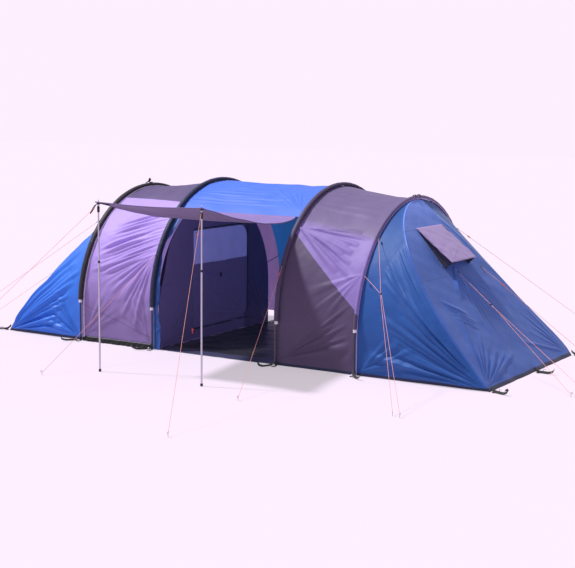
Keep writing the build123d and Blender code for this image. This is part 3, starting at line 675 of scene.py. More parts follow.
FRONT_LEGS = leg_starts(FRONT_JUNCTION, FRONT_LEG_PEGS, -1)
END_LEGS = leg_starts(END_JUNCTION, END_LEG_PEGS, 1)
GUYLINES = {
    "guy_hoop1_front": (hoop_anchor(1, 1.470, -1), HIGH, peg(-3.080, -2.820), PEG),
    "guy_hoop2_front": (hoop_anchor(2, 1.130, -1), LOW, peg(-0.895, -3.219), PEG),
    "guy_hoop3_front": (hoop_anchor(3, 1.140, -1), LOW, peg(1.494, -3.075), PEG),
    "guy_hoop4_front_high": (hoop_anchor(4, 1.487, -1), HIGH, FRONT_JUNCTION, KNOT),
    "guy_hoop4_front_low": (hoop_anchor(4, 1.072, -1), LOW, FRONT_JUNCTION, KNOT),
    "guy_hoop4_front_leg_a": (FRONT_LEGS[0], KNOT, FRONT_LEG_PEGS[0], PEG),
    "guy_hoop4_front_leg_b": (FRONT_LEGS[1], KNOT, FRONT_LEG_PEGS[1], PEG),
    "guy_hoop1_rear": (hoop_anchor(1, 1.470, 1), HIGH, peg(-3.080, 2.820), PEG),
    "guy_hoop2_rear": (hoop_anchor(2, 1.130, 1), LOW, peg(-0.895, 3.219), PEG),
    "guy_hoop3_rear": (hoop_anchor(3, 1.140, 1), LOW, peg(1.494, 3.075), PEG),
    "guy_hoop4_rear": (hoop_anchor(4, 1.447, 1), HIGH, peg(3.100, 2.800), PEG),
    "guy_right_end_front": (slope_point(1, 0.960, -0.280), PANEL, END_JUNCTION, KNOT),
    "guy_right_end_leg_a": (END_LEGS[0], KNOT, END_LEG_PEGS[0], PEG),
    "guy_right_end_leg_b": (END_LEGS[1], KNOT, END_LEG_PEGS[1], PEG),
    "guy_right_end_rear": (slope_point(1, 0.960, 0.340), PANEL, peg(4.060, 0.220), PEG),
    "guy_left_end_front": (slope_point(0, 0.900, -0.560), PANEL, peg(-4.000, -0.800), PEG),
    "guy_left_end_rear": (slope_point(0, 0.900, 0.120), PANEL, peg(-4.000, 0.320), PEG),
    "guy_awning_left": (CANOPY_CORNERS[0], PANEL, peg(-1.350, -4.700), PEG),
    "guy_awning_right": (CANOPY_CORNERS[1], PANEL, peg(1.782, -4.587), PEG),
}
ON_CORD = {
    "guy_hoop3_front": "runner_hoop3_front",
    "guy_hoop4_rear": "runner_hoop4_rear",
    "guy_right_end_rear": "runner_right_end_rear",
}


def cord_route(name, first, last):
    """A taut cord's route: a NURBS curve, held straight close to both ends."""
    along = direction(first, last)
    route = [first, first + along * STIFF_END, last - along * STIFF_END, last]
    data = bpy.data.curves.new(name, "CURVE")
    data.dimensions = "3D"
    spline = data.splines.new("NURBS")
    spline.points.add(len(route) - 1)
    for point, place in zip(spline.points, route):
        point.co = (*place, 1)
    spline.order_u = 3
    spline.use_endpoint_u = True
    spline.resolution_u = 16
    piece = bpy.data.objects.new(name, data)
    bpy.context.scene.collection.objects.link(piece)
    return piece


def cord_curve(name, first, last):
    """A cord as a curve with a round section."""
    piece = cord_route(name, first, last)
    piece.data.bevel_depth = CORD_DIAMETER / 2
    piece.data.bevel_resolution = 3
    piece.data.use_fill_caps = True
    piece.data.materials.append(cord_braid)
    return piece


def cord_tube(name, first, last):
    """A cord as a mesh tube along its route's spline, and the points it follows."""
    route = cord_route(f"{name}_route", first, last)
    line = bpy.data.meshes.new_from_object(route)
    path = [vertex.co.copy() for vertex in line.vertices]
    bpy.data.objects.remove(route)
    return tube(name, path, CORD_DIAMETER / 2, cord_braid, sides=8), path


def make_awning_runner(first, along):
    """The runner on the right awning guyline; it draws in with the line."""
    middle = first + along * AWNING_RUNNER_AT
    path = [middle + along * offset for offset in (-0.024, -0.020, 0.020, 0.024)]
    runner = tube("runner_awning_right", path, (0.003, 0.006, 0.006, 0.003), orange_plastic, 12)
    place_piece(runner, "canopy", "runner")
    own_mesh(runner)


def make_guyline(node, start, gap, end, end_gap):
    """A taut cord. The awning's two ride the canopy and draw in as it comes down."""
    along = direction(start, end)
    first, last = start + along * gap, end - along * end_gap
    awning = "awning" in node
    if awning:
        line, path = cord_tube(f"cord_{node}", first, last)
    else:
        line, path = cord_curve(f"cord_{node}", first, last), None
    place_piece(line, "canopy" if awning else "tent", "cord", node)
    if awning:
        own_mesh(line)
    if node == "guy_awning_right":
        make_awning_runner(first, along)


for node, line in GUYLINES.items():
    make_guyline(node, *line)

# ---------------------------------------------------------------- fly sheet


def bay_grid(left, right, shares, inset=FLY_INSET, x_range=None):
    """Cloth stretched between two hoops, pulled in midway between them."""
    x_low, x_high = x_range or (left.x, right.x)
    x, share = np.meshgrid(np.linspace(x_low, x_high, steps(x_high - x_low)), shares)
    across = (x - left.x) / (right.x - left.x)
    half = left.half + (right.half - left.half) * across
    top = left.top + (right.top - left.top) * across
    grip = 0.35 + 0.65 * np.clip(np.minimum(share, 1 - share) / 0.2, 0, 1)
    y, z = arch(share, half, top, 0)
    pull = inset + WAIST * 4 * across * (1 - across) * grip
    spring = top - half
    turn = np.arctan2(np.maximum(z - spring, 0), y)
    return np.stack([x, y - pull * np.cos(turn), z - pull * np.sin(turn)], -1)


def bay_shares(z_low, z_high_rear, hoop, length):
    """Evenly spaced shares from height z_low at the front to z_high_rear at the rear."""
    return np.linspace(share_at(hoop, z_low), 1 - share_at(hoop, z_high_rear), steps(length))


def bay_flat(points):
    """Flat coordinates of a bay's cloth: along the tent, and up from the front hem."""
    return np.stack([points[..., 0], arc_lengths(points)], -1)


def settle(points, height, hold=0.05):
    """Move a grid out along its normals by height, with its side edges held."""
    columns = np.arange(points.shape[1])
    from_edge = np.minimum(columns, columns[::-1]) * CELL
    held = np.clip(from_edge / hold, 0, 1)[None, :]
    return points + grid_normals(points) * (FOLD_DEPTH * height * held)[..., None]


def both_sides(flat, folds):
    """The same folds on the door side and, mirrored, on the rear."""
    length = flat[..., 1].max()
    mirrored = np.stack([flat[..., 0], length - flat[..., 1]], -1)
    return folds(flat, 0) + folds(mirrored, 50)


def left_bay_folds(flat, seed):
    starts, ends = [(-0.86, 1.90), (-0.86, 1.12)], [(-1.84, 1.50), (-1.84, 0.70)]
    total = sweep_folds(flat, starts, ends, 19, 0.024, 0.021, seed + 1)
    total += fan(flat, (-0.86, 1.16), [(-1.86, 0.78), (-1.10, 0.10)], 9, 0.036, 0.016, seed + 2)
    total += fan(flat, (-0.90, 0.10), [(-1.50, 0.55), (-0.98, 0.80)], 6, 0.036, 0.012, seed + 3)
    total += fan(flat, (-1.86, 0.08), [(-1.00, 0.40), (-1.60, 0.75)], 4, 0.04, 0.008, seed + 4)
    return total + rumple(flat, 0.3, 0.0016, seed + 5)


def right_bay_folds(flat, seed):
    total = fan(flat, (0.90, 1.60), [(1.82, 1.62), (1.76, 0.86)], 10, 0.040, 0.034, seed + 11)
    total += fan(flat, (0.93, 0.08), [(1.80, 0.80), (1.80, 0.20)], 7, 0.032, 0.018, seed + 12)
    total += fan(flat, (1.84, 1.10), [(1.10, 0.90), (1.35, 0.30)], 5, 0.04, 0.008, seed + 13)
    starts, ends = [(0.92, 1.9), (0.92, 2.6)], [(1.82, 1.8), (1.82, 2.6)]
    total += sweep_folds(flat, starts, ends, 6, 0.04, 0.006, seed + 14)
    return total + rumple(flat, 0.3, 0.0010, seed + 15)


def centre_folds(flat, seed):
    starts, ends = [(-0.80, 0.15), (-0.80, 1.5)], [(0.60, 0.15), (0.60, 1.5)]
    total = sweep_folds(flat, starts, ends, 20, 0.022, 0.009, seed + 21)
    total += fan(flat, (0.84, 0.06), [(0.1, 0.5), (0.4, 0.9)], 5, 0.026, 0.005, seed + 22)
    return total + rumple(flat, 0.35, 0.002, seed + 23)


def arch_length(hoop):
    return math.pi * (hoop.half - FLY_INSET) + 2 * hoop.spring


HEM_GAP = (-1.12, -0.80, 0.10)      # the left bay's rear hem is up between two places, and how high


def lift_rear_hem(points, start, stop, height, reach=0.3):
    """Raise the rear hem between two places along the tent, easing out by height reach."""
    x, y, z = points[..., 0], points[..., 1], points[..., 2]
    lift = height * np.clip((x - start) / 0.06, 0, 1) * np.clip((stop - x) / 0.02, 0, 1)
    low = (y > 0) & (z < reach)
    points[..., 2] = np.where(low, lift + z * (1 - lift / reach), z)


def make_bay(name, left, right, folds, cloths, slot, node, hem_gap=None):
    """The fly between two hoops, with its outside and lining cloths."""
    points = bay_grid(left, right, bay_shares(0.004, 0.004, left, arch_length(left)))
    flat = bay_flat(points)
    points = settle(points, both_sides(flat, folds))
    if hem_gap:
        lift_rear_hem(points, *hem_gap)
    piece = sheet_object(name, [points], *cloths)
    place_piece(piece, "tent", slot, node)


make_bay(
    "cloth_left_bay",
    *HOOPS[:2],
    left_bay_folds,
    (fly_left, fly_left_lining),
    "fly_lilac",
    "fly_left_bay",
    HEM_GAP,
)
make_bay(
    "cloth_right_bay",
    *HOOPS[2:],
    right_bay_folds,
    (fly_right, fly_right_lining),
    "fly_mauve",
    "fly_right_bay",
)

DOORWAY_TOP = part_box("canopy")[0].z
JAMB_X = -0.69
JAMB_LENGTH = 1.7                   # of the hoop's arch, beside the doorway


def make_centre():
    """The middle panel: a roof and rear wall, and a door jamb along the second hoop."""
    left, right = HOOPS[1], HOOPS[2]
    roof = bay_grid(left, right, bay_shares(DOORWAY_TOP, 0.06, left, arch_length(left) - JAMB_LENGTH))
    flat = bay_flat(roof)
    roof = settle(roof, centre_folds(flat, 0))
    shares = np.linspace(share_at(left, 0.004), share_at(left, DOORWAY_TOP), steps(JAMB_LENGTH))
    jamb = bay_grid(left, right, shares, x_range=(left.x, JAMB_X))
    rise = jamb[..., 2]
    across = (jamb[..., 0] - left.x) / (JAMB_X - left.x)
    drawn_in = 0.045 * np.exp(-(((rise - 1.1) / 0.4) ** 2)) + 0.045
    jamb[..., 0] += across * (0.014 * np.sin(rise * 9 + 0.6) - drawn_in)
    ripple = 0.012 * np.sin(rise * 17) + 0.006 * np.sin(rise * 41)
    jamb = jamb + grid_normals(jamb) * (across * ripple)[..., None]
    piece = sheet_object("cloth_centre", [roof], fly_middle, fly_middle_lining)
    place_piece(piece, "tent", "fly_blue", "fly_centre")
    jamb_piece = sheet_object("cloth_door_jamb", [jamb], fly_middle, fly_middle)
    place_piece(jamb_piece, "tent", "fly_blue", "fly_centre")


make_centre()


class EndShape:
    """One skin of a sloping end: two sides that meet a flat, sloping face at seams."""

    def __init__(self, side, half, top, centre=0.0, taper=0.0):
        self.side = side
        self.hoop = HOOPS[0] if side == 0 else HOOPS[3]
        self.half, self.top, self.centre, self.taper = half, top, centre, taper
        self.foot_x = GROUND_X[side]
        self.length = abs(self.foot_x - self.hoop.x)
        slope_top = self.hoop.top - FLY_INSET
        self.rise = slope_top * self.length / (self.length - END_SLOPE_START)
        steepness = math.hypot(1, self.rise / self.length)
        self.drop = taper * steepness
        self.run_per_z = self.length * steepness / self.rise
        self.slope_top = slope_top

    def far(self, share):
        """y and z, at the ground line, of the half arches that the sides run to."""
        turn = np.pi * np.clip((share - LEG_SHARE) / (1 - 2 * LEG_SHARE), 0, 1)
        leg = np.clip(np.minimum(share, 1 - share) / LEG_SHARE, 0, 1)
        (front_leg, front_rise), (rear_leg, rear_rise) = END_FILL[self.side]
        front = front_leg * leg + (front_rise - self.taper) * np.sin(turn)
        rear = rear_leg * leg + (rear_rise - self.taper) * np.sin(turn)
        rearward = np.clip((share - 0.5) / 0.03, 0, 1)
        y = END_CENTRE - (END_HALF - self.taper) * np.cos(turn)
        return y, front + (rear - front) * rearward

    def seam_reach(self, share):
        """How far along each ruled line, from 0 to 1, the sloping face cuts it."""
        z_near = arch(share, self.half, self.top)[1]
        z_far = self.far(share)[1]
        return np.clip((self.rise - self.drop - z_near) / (z_far - z_near + self.rise), 0.003, 1)

    def ruled(self, share, reach):
        """Points on the lines from the hoop to the ground line."""
        y_near, z_near = arch(share, self.half, self.top, 0, self.centre)
        y_far, z_far = self.far(share)
        x = self.hoop.x + reach * (self.foot_x - self.hoop.x)
        return np.stack([x, y_near + reach * (y_far - y_near), z_near + reach * (z_far - z_near)], -1)

    def seam(self, share):
        return self.ruled(share, self.seam_reach(share))

    def side_grid(self, rear):
        """One side, from the hem to the crown, from the hoop to the seam."""
        shares, reaches = np.linspace(0.001, 0.5, steps(2.6)), np.linspace(0, 1, steps(1.2))
        share, across = np.meshgrid(shares, reaches, indexing="ij")
        share = 1 - share if rear else share
        return self.ruled(share, across * self.seam_reach(share))

    def level_with(self, z, rear):
        """Points of a seam at the given heights."""
        share = np.linspace(0.5, 1, 3000) if rear else np.linspace(0.5, 0, 3000)
        seam_z = self.seam(share)[:, 2]
        return self.seam(np.interp(-z, -seam_z, share))

    def face_grid(self, window=None):
        """The sloping face in level rows from the hem up; window adds rows and columns on its edges."""
        crown = self.seam(np.array([0.5]))[0, 2]
        stops = [self.run_of(0.0), *(window[1][::-1] if window else ()), self.run_of(crown)]
        spans = [np.linspace(a, b, steps(abs(a - b)))[1:] for a, b in zip(stops[:-1], stops[1:])]
        runs = np.concatenate([stops[:1], *spans])
        z = np.clip(self.slope_top - runs / self.run_per_z, 0, None)
        front, rear = self.level_with(z, False), self.level_with(z, True)
        span = rear[:, 1] - front[:, 1]
        edges = [front[:, 1], rear[:, 1]]
        counts = [144]
        if window:
            edges.insert(1, np.maximum(window[0][0], front[:, 1] + 0.15 * span))
            edges.insert(2, np.minimum(window[0][1], rear[:, 1] - 0.15 * span))
            counts = [46, 38, 60]
        columns = [
            np.linspace(edges[k], edges[k + 1], count + 1, axis=1)[:, (1 if k else 0):]
            for k, count in enumerate(counts)
        ]
        y = np.concatenate(columns, axis=1)
        x, z, run = (np.broadcast_to(column, y.shape) for column in (front[:, :1], z[:, None], runs[:, None]))
        return np.stack([x, y, z], -1), np.stack([y, run], -1)

    def run_of(self, z):
        """Distance down the slope from its top at height z."""
        return (self.slope_top - z) * self.run_per_z

    def side_folds(self, points, seed):
        """Folds of a side: distance out from the hoop, and height."""
        flat = np.stack([np.abs(points[..., 0] - self.hoop.x), points[..., 2]], -1)
        tip = (self.length - 0.03, 0.02)
        total = fan(flat, tip, [(0.06, 1.45), (0.10, 0.12)], 13, 0.040, 0.030, seed)
        starts, ends = [(0.35, 1.42), (0.22, 1.10)], [(1.10, 0.50), (0.95, 0.35)]
        total += sweep_folds(flat, starts, ends, 8, 0.030, 0.020, seed + 1)
        total += fan(flat, (0.05, 0.05), [(0.5, 0.7), (0.9, 0.12)], 5, 0.045, 0.014, seed + 2)
        return total + rumple(flat, 0.35, 0.0015, seed + 3)

    def face_folds(self, flat, seed):
        """Folds of the sloping face: across the tent, and down the slope."""
        total = fan(flat, (-0.30, 0.90), [(-0.80, 1.35), (0.25, 1.35)], 12, 0.028, 0.011, seed)
        total += fan(flat, (-0.28, 0.97), [(-0.70, 1.9), (0.30, 1.8)], 6, 0.03, 0.005, seed + 1)
        total += fan(flat, (-1.32, 2.28), [(-0.9, 1.3), (-0.1, 2.1)], 7, 0.03, 0.010, seed + 2)
        starts, ends = [(-1.1, 1.2), (-1.0, 1.5)], [(-0.7, 1.45), (-0.5, 1.8)]
        total += sweep_folds(flat, starts, ends, 5, 0.022, 0.010, seed + 3)
        total += fan(flat, (1.0, 2.28), [(0.7, 1.3), (0.0, 2.0)], 5, 0.03, 0.008, seed + 4)
        return total + rumple(flat, 0.35, 0.0018, seed + 5)


def surface_area(points, open_cells=None):
    """Area of a grid, less its open cells."""
    sides = np.cross(points[1:, 1:] - points[:-1, :-1], points[1:, :-1] - points[:-1, 1:])
    area = np.linalg.norm(sides, axis=-1) / 2
    return float(area.sum() if open_cells is None else area[~open_cells].sum())


SIDE_SLACK = ((1.5, 0.7), (1.1, 0.3))   # how deep the folds are, door side and rear


def make_end(side, outside, node):
    hoop = HOOPS[0] if side == 0 else HOOPS[3]
    shape = EndShape(side, hoop.half - FLY_INSET, hoop.top - FLY_INSET)
    grids, area = [], 0.0
    for rear in (False, True):
        points = shape.side_grid(rear)
        area += surface_area(points)
        height = shape.side_folds(points, 100 + 20 * side + 7 * rear) * SIDE_SLACK[side][rear]
        if (side == 0) != rear:
            points, height = points[:, ::-1], height[:, ::-1]
        grids.append(settle(points, height, 0.07))
    face, flat = shape.face_grid((WINDOW_Y, WINDOW_RUN))
    middle = (flat[:-1, :-1] + flat[1:, 1:]) / 2
    open_cells = (np.abs(middle[..., 0] - VENT_Y) < WINDOW_SIZE[0] / 2) & (
        np.abs(middle[..., 1] - sum(WINDOW_RUN) / 2) < WINDOW_SIZE[1] / 2
    )
    area += surface_area(face, open_cells)
    from_window = np.maximum(
        np.maximum(WINDOW_Y[0] - flat[..., 0], flat[..., 0] - WINDOW_Y[1]),
        np.maximum(WINDOW_RUN[0] - flat[..., 1], flat[..., 1] - WINDOW_RUN[1]),
    )
    height = shape.face_folds(flat, 200 + 20 * side) * np.clip(from_window / 0.05, 0, 1)
    if side == 0:
        face, height, open_cells = face[:, ::-1], height[:, ::-1], open_cells[:, ::-1]
    grids.append(settle(face, height, 0.07))
    piece = sheet_object(f"cloth_{node[4:]}", grids, outside, fly_end_lining, skips=[None, None, open_cells])
    place_piece(piece, "tent", "fly_blue", node)
    seam_share = np.linspace(0.004, 0.495, 90)
    for way, share in (("front", seam_share), ("rear", 1 - seam_share)):
        trim = tube(f"seam_{node[4:]}_{way}", shape.seam(share), 0.002, outside, 6)
        place_piece(trim, "tent", "fly_blue")


make_end(0, fly_end_left, "fly_left_end")
make_end(1, fly_end_right, "fly_right_end")

# ---------------------------------------------------------------- pole sleeves and piping
# each hoop's sleeve cloth, how much broader than deep it is, its piping, and where the
# piping lies: along the tent from the pole, and its radius
SLEEVES = (
    (sleeve_black, 1.7, piping_white, 0.040, 0.006),
    (sleeve_navy, 1.5, piping_navy, 0.034, 0.004),
    (sleeve_mauve, 1.4, piping_brown, -0.031, 0.0045),
    (fly_right, 1.0, piping_lilac, 0.016, 0.006),
)


def make_sleeve(number, hoop, sleeve_cloth, wide, piping, offset, radius):
    """A puckered sleeve over the upper part of a hoop, and piping along the seam beside it."""
    low = share_at(hoop, SLEEVE_END_Z)
    share = np.linspace(low, 1 - low, 420)
    y, z = arch(share, hoop.half, hoop.top)
    path = np.stack([np.full_like(y, hoop.x), y, z], -1)
    rng = np.random.default_rng(300 + number)
    pucker = sum(np.sin(share * rng.uniform(120, 420) + rng.uniform(0, 6)) for _ in range(6)) / 6
    size = SLEEVE_RADIUS * (0.93 + 0.07 * pucker)
    sleeve = tube(f"sleeve_{number}", path, size, sleeve_cloth, 16, wide)
    place_piece(sleeve, "tent", "sleeve", "pole_sleeves")
    inset = 0.0165 + 0.1 * max(abs(offset) - 0.02, 0)
    y, z = arch(np.linspace(0.002, 0.998, 420), hoop.half, hoop.top, inset)
    path = np.stack([np.full_like(y, hoop.x + offset), y, z], -1)
    place_piece(tube(f"piping_{number}", path, radius, piping, 6), "tent", "webbing")


for number, (hoop, details) in enumerate(zip(HOOPS, SLEEVES), 1):
    make_sleeve(number, hoop, *details)

# ---------------------------------------------------------------- canopy
CANOPY_LOW, CANOPY_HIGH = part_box("canopy")
HINGE_X, EDGE_X = (-0.650, 0.800), (-0.530, 0.840)
HINGE_Y, HINGE_Z = -0.884, 1.606
EDGE_Y, EDGE_Z = CANOPY_LOW.y, CANOPY_HIGH.z - 0.002


def make_canopy():
    """A door panel propped out on two poles, slack near its sewn edge."""
    length = HINGE_Y - EDGE_Y
    w, u = np.meshgrid(np.linspace(0, 1, steps(length)), np.linspace(0, 1, steps(1.45)), indexing="ij")
    low = HINGE_X[0] + (EDGE_X[0] - HINGE_X[0]) * w + 0.035 * np.sin(np.pi * w)
    high = HINGE_X[1] + (EDGE_X[1] - HINGE_X[1]) * w - 0.035 * np.sin(np.pi * w)
    x = low + (high - low) * u
    y = HINGE_Y - length * w + 0.03 * np.sin(np.pi * u) * w
    sag = 0.105 * np.sin(np.pi * w**0.65) + 0.022 * np.sin(np.pi * u) * w
    z = HINGE_Z + (EDGE_Z - HINGE_Z) * w - sag
    points = np.stack([x, y, z], -1)
    flat = np.stack([x, y], -1)
    height = fan(flat, (EDGE_X[0] + 0.03, EDGE_Y + 0.04), [(-0.5, -1.1), (0.5, -1.6)], 7, 0.035, 0.008, 401)
    height += fan(flat, (EDGE_X[1] - 0.03, EDGE_Y + 0.04), [(0.7, -1.1), (-0.2, -1.6)], 7, 0.035, 0.008, 402)
    starts, ends = [(-0.5, -0.92), (0.7, -0.92)], [(-0.55, -1.4), (0.7, -1.4)]
    height += sweep_folds(flat, starts, ends, 10, 0.03, 0.006, 403)
    height += rumple(flat, 0.35, 0.0025, 404)
    points[..., 2] += height * np.clip(np.minimum(w, 1 - w) / 0.05, 0, 1)
    piece = sheet_object("cloth_canopy", [points[:, ::-1]], canopy_top, canopy_under)
    place_piece(piece, "canopy", "canopy_cloth", "canopy")
    edges = {"front": points[-1], "left": points[:, 0], "right": points[:, -1]}
    for name, path in edges.items():
        hem = tube(f"canopy_hem_{name}", path, 0.006, canopy_under, 8)
        place_piece(hem, "canopy", "canopy_cloth")


make_canopy()

# ---------------------------------------------------------------- bedrooms
ROOM_HALF, ROOM_CENTRE, ROOM_TOP = 1.190, -0.130, 1.735
ROOM_INSET = 0.09
ROOM_CLEARANCE = 0.009              # drawn in this much, before FOLD_DEPTH, to stay clear of the fly's folds
FACADE_X = (-0.800, 0.850)
DOOR_HINGE_Y = (-0.620, 0.620)
DOOR_WIDTH = (1.170, 0.900)
DOOR_Z = (0.150, 1.340)
DOOR_CORNER = 0.16


def door_loop(side, grow, count=1200):
    """A door's outline, rounded on its free side: y and z from its lower hinge corner."""
    towards = 1 if side == 0 else -1
    width, height = DOOR_WIDTH[side] + 2 * grow, DOOR_Z[1] - DOOR_Z[0] + 2 * grow
    radius = DOOR_CORNER + grow
    turn = np.linspace(0, np.pi / 2, 24)
    corner = np.stack([width - radius + radius * np.cos(turn), height - radius + radius * np.sin(turn)], -1)
    lower = np.stack([width - radius + radius * np.sin(turn), radius - radius * np.cos(turn)], -1)
    loop = np.concatenate([[(0, 0)], lower, corner, [(0, height)], [(0, 0)]])
    y = DOOR_HINGE_Y[side] + towards * (loop[:, 0] - grow)
    z = DOOR_Z[0] - grow + loop[:, 1]
    return np.stack([y, z], -1)


def radii(loop, centre, angles):
    """Distance from centre to a closed outline at each angle."""
    dense = np.concatenate([np.linspace(a, b, 40, endpoint=False) for a, b in zip(loop[:-1], loop[1:])])
    offset = dense - centre
    turn = np.arctan2(offset[:, 1], offset[:, 0])
    order = np.argsort(turn)
    turn, size = turn[order], np.linalg.norm(offset, axis=1)[order]
    return np.interp(angles, turn, size, period=2 * np.pi)


def room_loop(half, top):
    """Outline of a bedroom wall: an arch and the ground line."""
    share = np.linspace(0.001, 0.999, 200)
    y, z = arch(share, half, top, 0, ROOM_CENTRE)
    y = y + np.where(y < -0.5, 0.07 * np.exp(-(((z - 0.9) / 0.3) ** 2)), 0)
    loop = np.stack([y, np.maximum(z, 0.001)], -1)
    return np.concatenate([loop, loop[:1]])


def make_bedroom(side, node, door_node):
    out, name = OUT[side], SIDE_NAMES[side]
    x = FACADE_X[side]
    centre = np.array((DOOR_HINGE_Y[side] - out * DOOR_WIDTH[side] / 2, sum(DOOR_Z) / 2))
    angles = np.linspace(-np.pi, np.pi, 361)
    inner = radii(door_loop(side, 0), centre, angles)
    outer = radii(room_loop(ROOM_HALF, ROOM_TOP), centre, angles)
    share = np.linspace(0, 1, 34)[:, None]
    reach = inner + (outer - inner) * share
    y = centre[0] + reach * np.cos(angles)
    z = centre[1] + reach * np.sin(angles)
    flat = np.stack([y, z], -1)
    height = fan(flat, (-1.25, 0.05), [(-0.7, 1.0), (0.3, 0.3)], 8, 0.045, 0.022, 501 + side)
    height += fan(flat, (0.95, 0.05), [(0.6, 1.1), (-0.2, 0.3)], 8, 0.045, 0.020, 503 + side)
    height += rumple(flat, 0.25, 0.003, 505 + side)
    hold = np.clip(share / 0.12, 0, 1) * np.clip((1 - share) / 0.08, 0, 1)
    points = np.stack([x - out * 0.0012 + height * hold * 0.6, y, z], -1)
    grid = points[:, ::-1] if side == 0 else points
    wall = sheet_object(f"cloth_facade_{name}", [grid], facade_cloth, bedroom_side)
    place_piece(wall, "tent", "inner_cloth", node)
    make_room_shell(side, name, node)
    make_door(side, name, door_node, centre, angles)


def make_room_shell(side, name, node):
    """The rest of a bedroom: its roof, side walls and sloping end."""
    room = EndShape(side, ROOM_HALF, ROOM_TOP, ROOM_CENTRE, ROOM_INSET - FLY_INSET)
    share, along = np.meshgrid(np.linspace(0.002, 0.998, 150), np.linspace(0, 1, 70), indexing="ij")
    y, z = arch(share, ROOM_HALF, ROOM_TOP, 0, ROOM_CENTRE)
    x = FACADE_X[side] + along * (room.hoop.x - FACADE_X[side])
    straight = np.stack([x, y, z], -1)
    tapered = room.ruled(share, along * room.seam_reach(share))
    face, _ = room.face_grid()
    edge = np.concatenate([straight, tapered[:, 1:]], axis=1)
    across = np.linspace(1, 0, 60)[:, None, None]
    floor = edge[0] + across * (edge[-1] - edge[0])
    grids, area = [], 0.0
    for number, points in enumerate((straight, tapered, face, floor)):
        area += surface_area(points)
        points = points if side else points[:, ::-1]
        slack = rumple(points[..., :2], 0.35, 0.002, 520 + side + 2 * number)
        points = settle(points, slack - ROOM_CLEARANCE)
        points[..., 2] = np.maximum(points[..., 2], 0.006)
        grids.append(points)
    shell = sheet_object(f"cloth_room_{name}", grids, bedroom_side, facade_cloth)
    place_piece(shell, "tent", "inner_cloth", node)


MESH_PANEL_Z = 0.925


def make_door(side, name, node, centre, angles):
    """A zipped door: cloth below, a lighter mesh panel above."""
    out = OUT[side]
    towards = -out
    gap = 0.006
    rim = radii(door_loop(side, -gap), centre, angles)
    share = np.linspace(0.02, 1, 60)[:, None] ** 0.8
    y, z = centre[0] + rim * share * np.cos(angles), centre[1] + rim * share * np.sin(angles)
    flat = np.stack([y, z], -1)
    free = centre[0] + towards * DOOR_WIDTH[side] / 2
    ends = [(centre[0] - 0.3 * towards, 0.9), (centre[0] - 0.5 * towards, 0.25)]
    height = fan(flat, (free, 0.2), ends, 9, 0.04, 0.020, 541)
    height += fan(flat, (DOOR_HINGE_Y[side], 0.9), [(free, 0.5), (centre[0], 0.2)], 8, 0.04, 0.016, 543)
    height += rumple(flat, 0.25, 0.003, 545)
    held = np.clip((1 - share) / 0.1, 0, 1)
    points = np.stack([FACADE_X[side] + out * 0.002 + height * held * 0.5, y, z], -1)
    if side == 0:
        points = points[:, ::-1]
    piece = sheet_object(f"cloth_door_{name}", [points], door_cloth, door_cloth)
    place_piece(piece, f"inner_door_{name}", "inner_cloth", node)
    for polygon in piece.data.polygons:
        if polygon.center.z > MESH_PANEL_Z:
            polygon.material_index = 2
    piece.data.materials.append(door_mesh)


make_bedroom(0, "inner_tent_left", "inner_door_left")
make_bedroom(1, "inner_tent_right", "inner_door_right")

# ---------------------------------------------------------------- groundsheet and skirt
FLOOR_LOW, FLOOR_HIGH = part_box("groundsheet")
FLOOR_TUCK = 0.012                  # it runs this far under the bedroom walls


def make_groundsheet():
    x, y = np.meshgrid(
        np.linspace(FLOOR_LOW.x - FLOOR_TUCK, FLOOR_HIGH.x + FLOOR_TUCK, steps(FLOOR_HIGH.x - FLOOR_LOW.x)),
        np.linspace(FLOOR_LOW.y, FLOOR_HIGH.y, steps(FLOOR_HIGH.y - FLOOR_LOW.y)),
    )
    flat = np.stack([x, y], -1)
    height = fan(flat, (0.8, 1.3), [(-0.3, 0.6), (0.7, -0.2)], 9, 0.035, 0.010, 601)
    height += fan(flat, (-0.7, -1.1), [(0.2, -0.9), (-0.5, 0.6)], 7, 0.035, 0.008, 602)
    starts, ends = [(-0.7, -1.34), (-0.7, -1.2)], [(0.8, -1.34), (0.8, -1.2)]
    height += sweep_folds(flat, starts, ends, 3, 0.02, 0.005, 603)
    z = 0.004 + np.maximum(height + rumple(flat, 0.2, 0.002, 604) + 0.001, 0)
    piece = sheet_object("cloth_groundsheet", [np.stack([x, y, z], -1)], floor_cloth, floor_cloth)
    place_piece(piece, "tent", "groundsheet", "groundsheet")


make_groundsheet()


def make_skirt(way):
    """The mud skirt along one side of the left bay."""
    low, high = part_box("mud_skirt")
    end = high.x if way < 0 else HEM_GAP[0]
    x, z = np.meshgrid(np.linspace(low.x, end, steps(end - low.x)), np.linspace(0.002, high.z, 6))
    flare = (high.z - z) / high.z
    y = way * (high.y + 0.002 + flare * (0.02 + 0.006 * np.sin(x * 31) + 0.004 * np.sin(x * 83)))
    points = np.stack([x, y, z], -1)
    if way > 0:
        points = points[:, ::-1]
    name = "front" if way < 0 else "rear"
    piece = sheet_object(f"cloth_skirt_{name}", [points], skirt_cloth, skirt_cloth)
    place_piece(piece, "tent", "skirt", "mud_skirt")


for way in (-1, 1):
    make_skirt(way)

# ---------------------------------------------------------------- vents
FLAP_WIDTH, FLAP_LENGTH = 0.65, 0.56
FLAP_RUN, FLAP_LIFT, FLAP_ANGLE = 0.36, 0.006, math.radians(12)


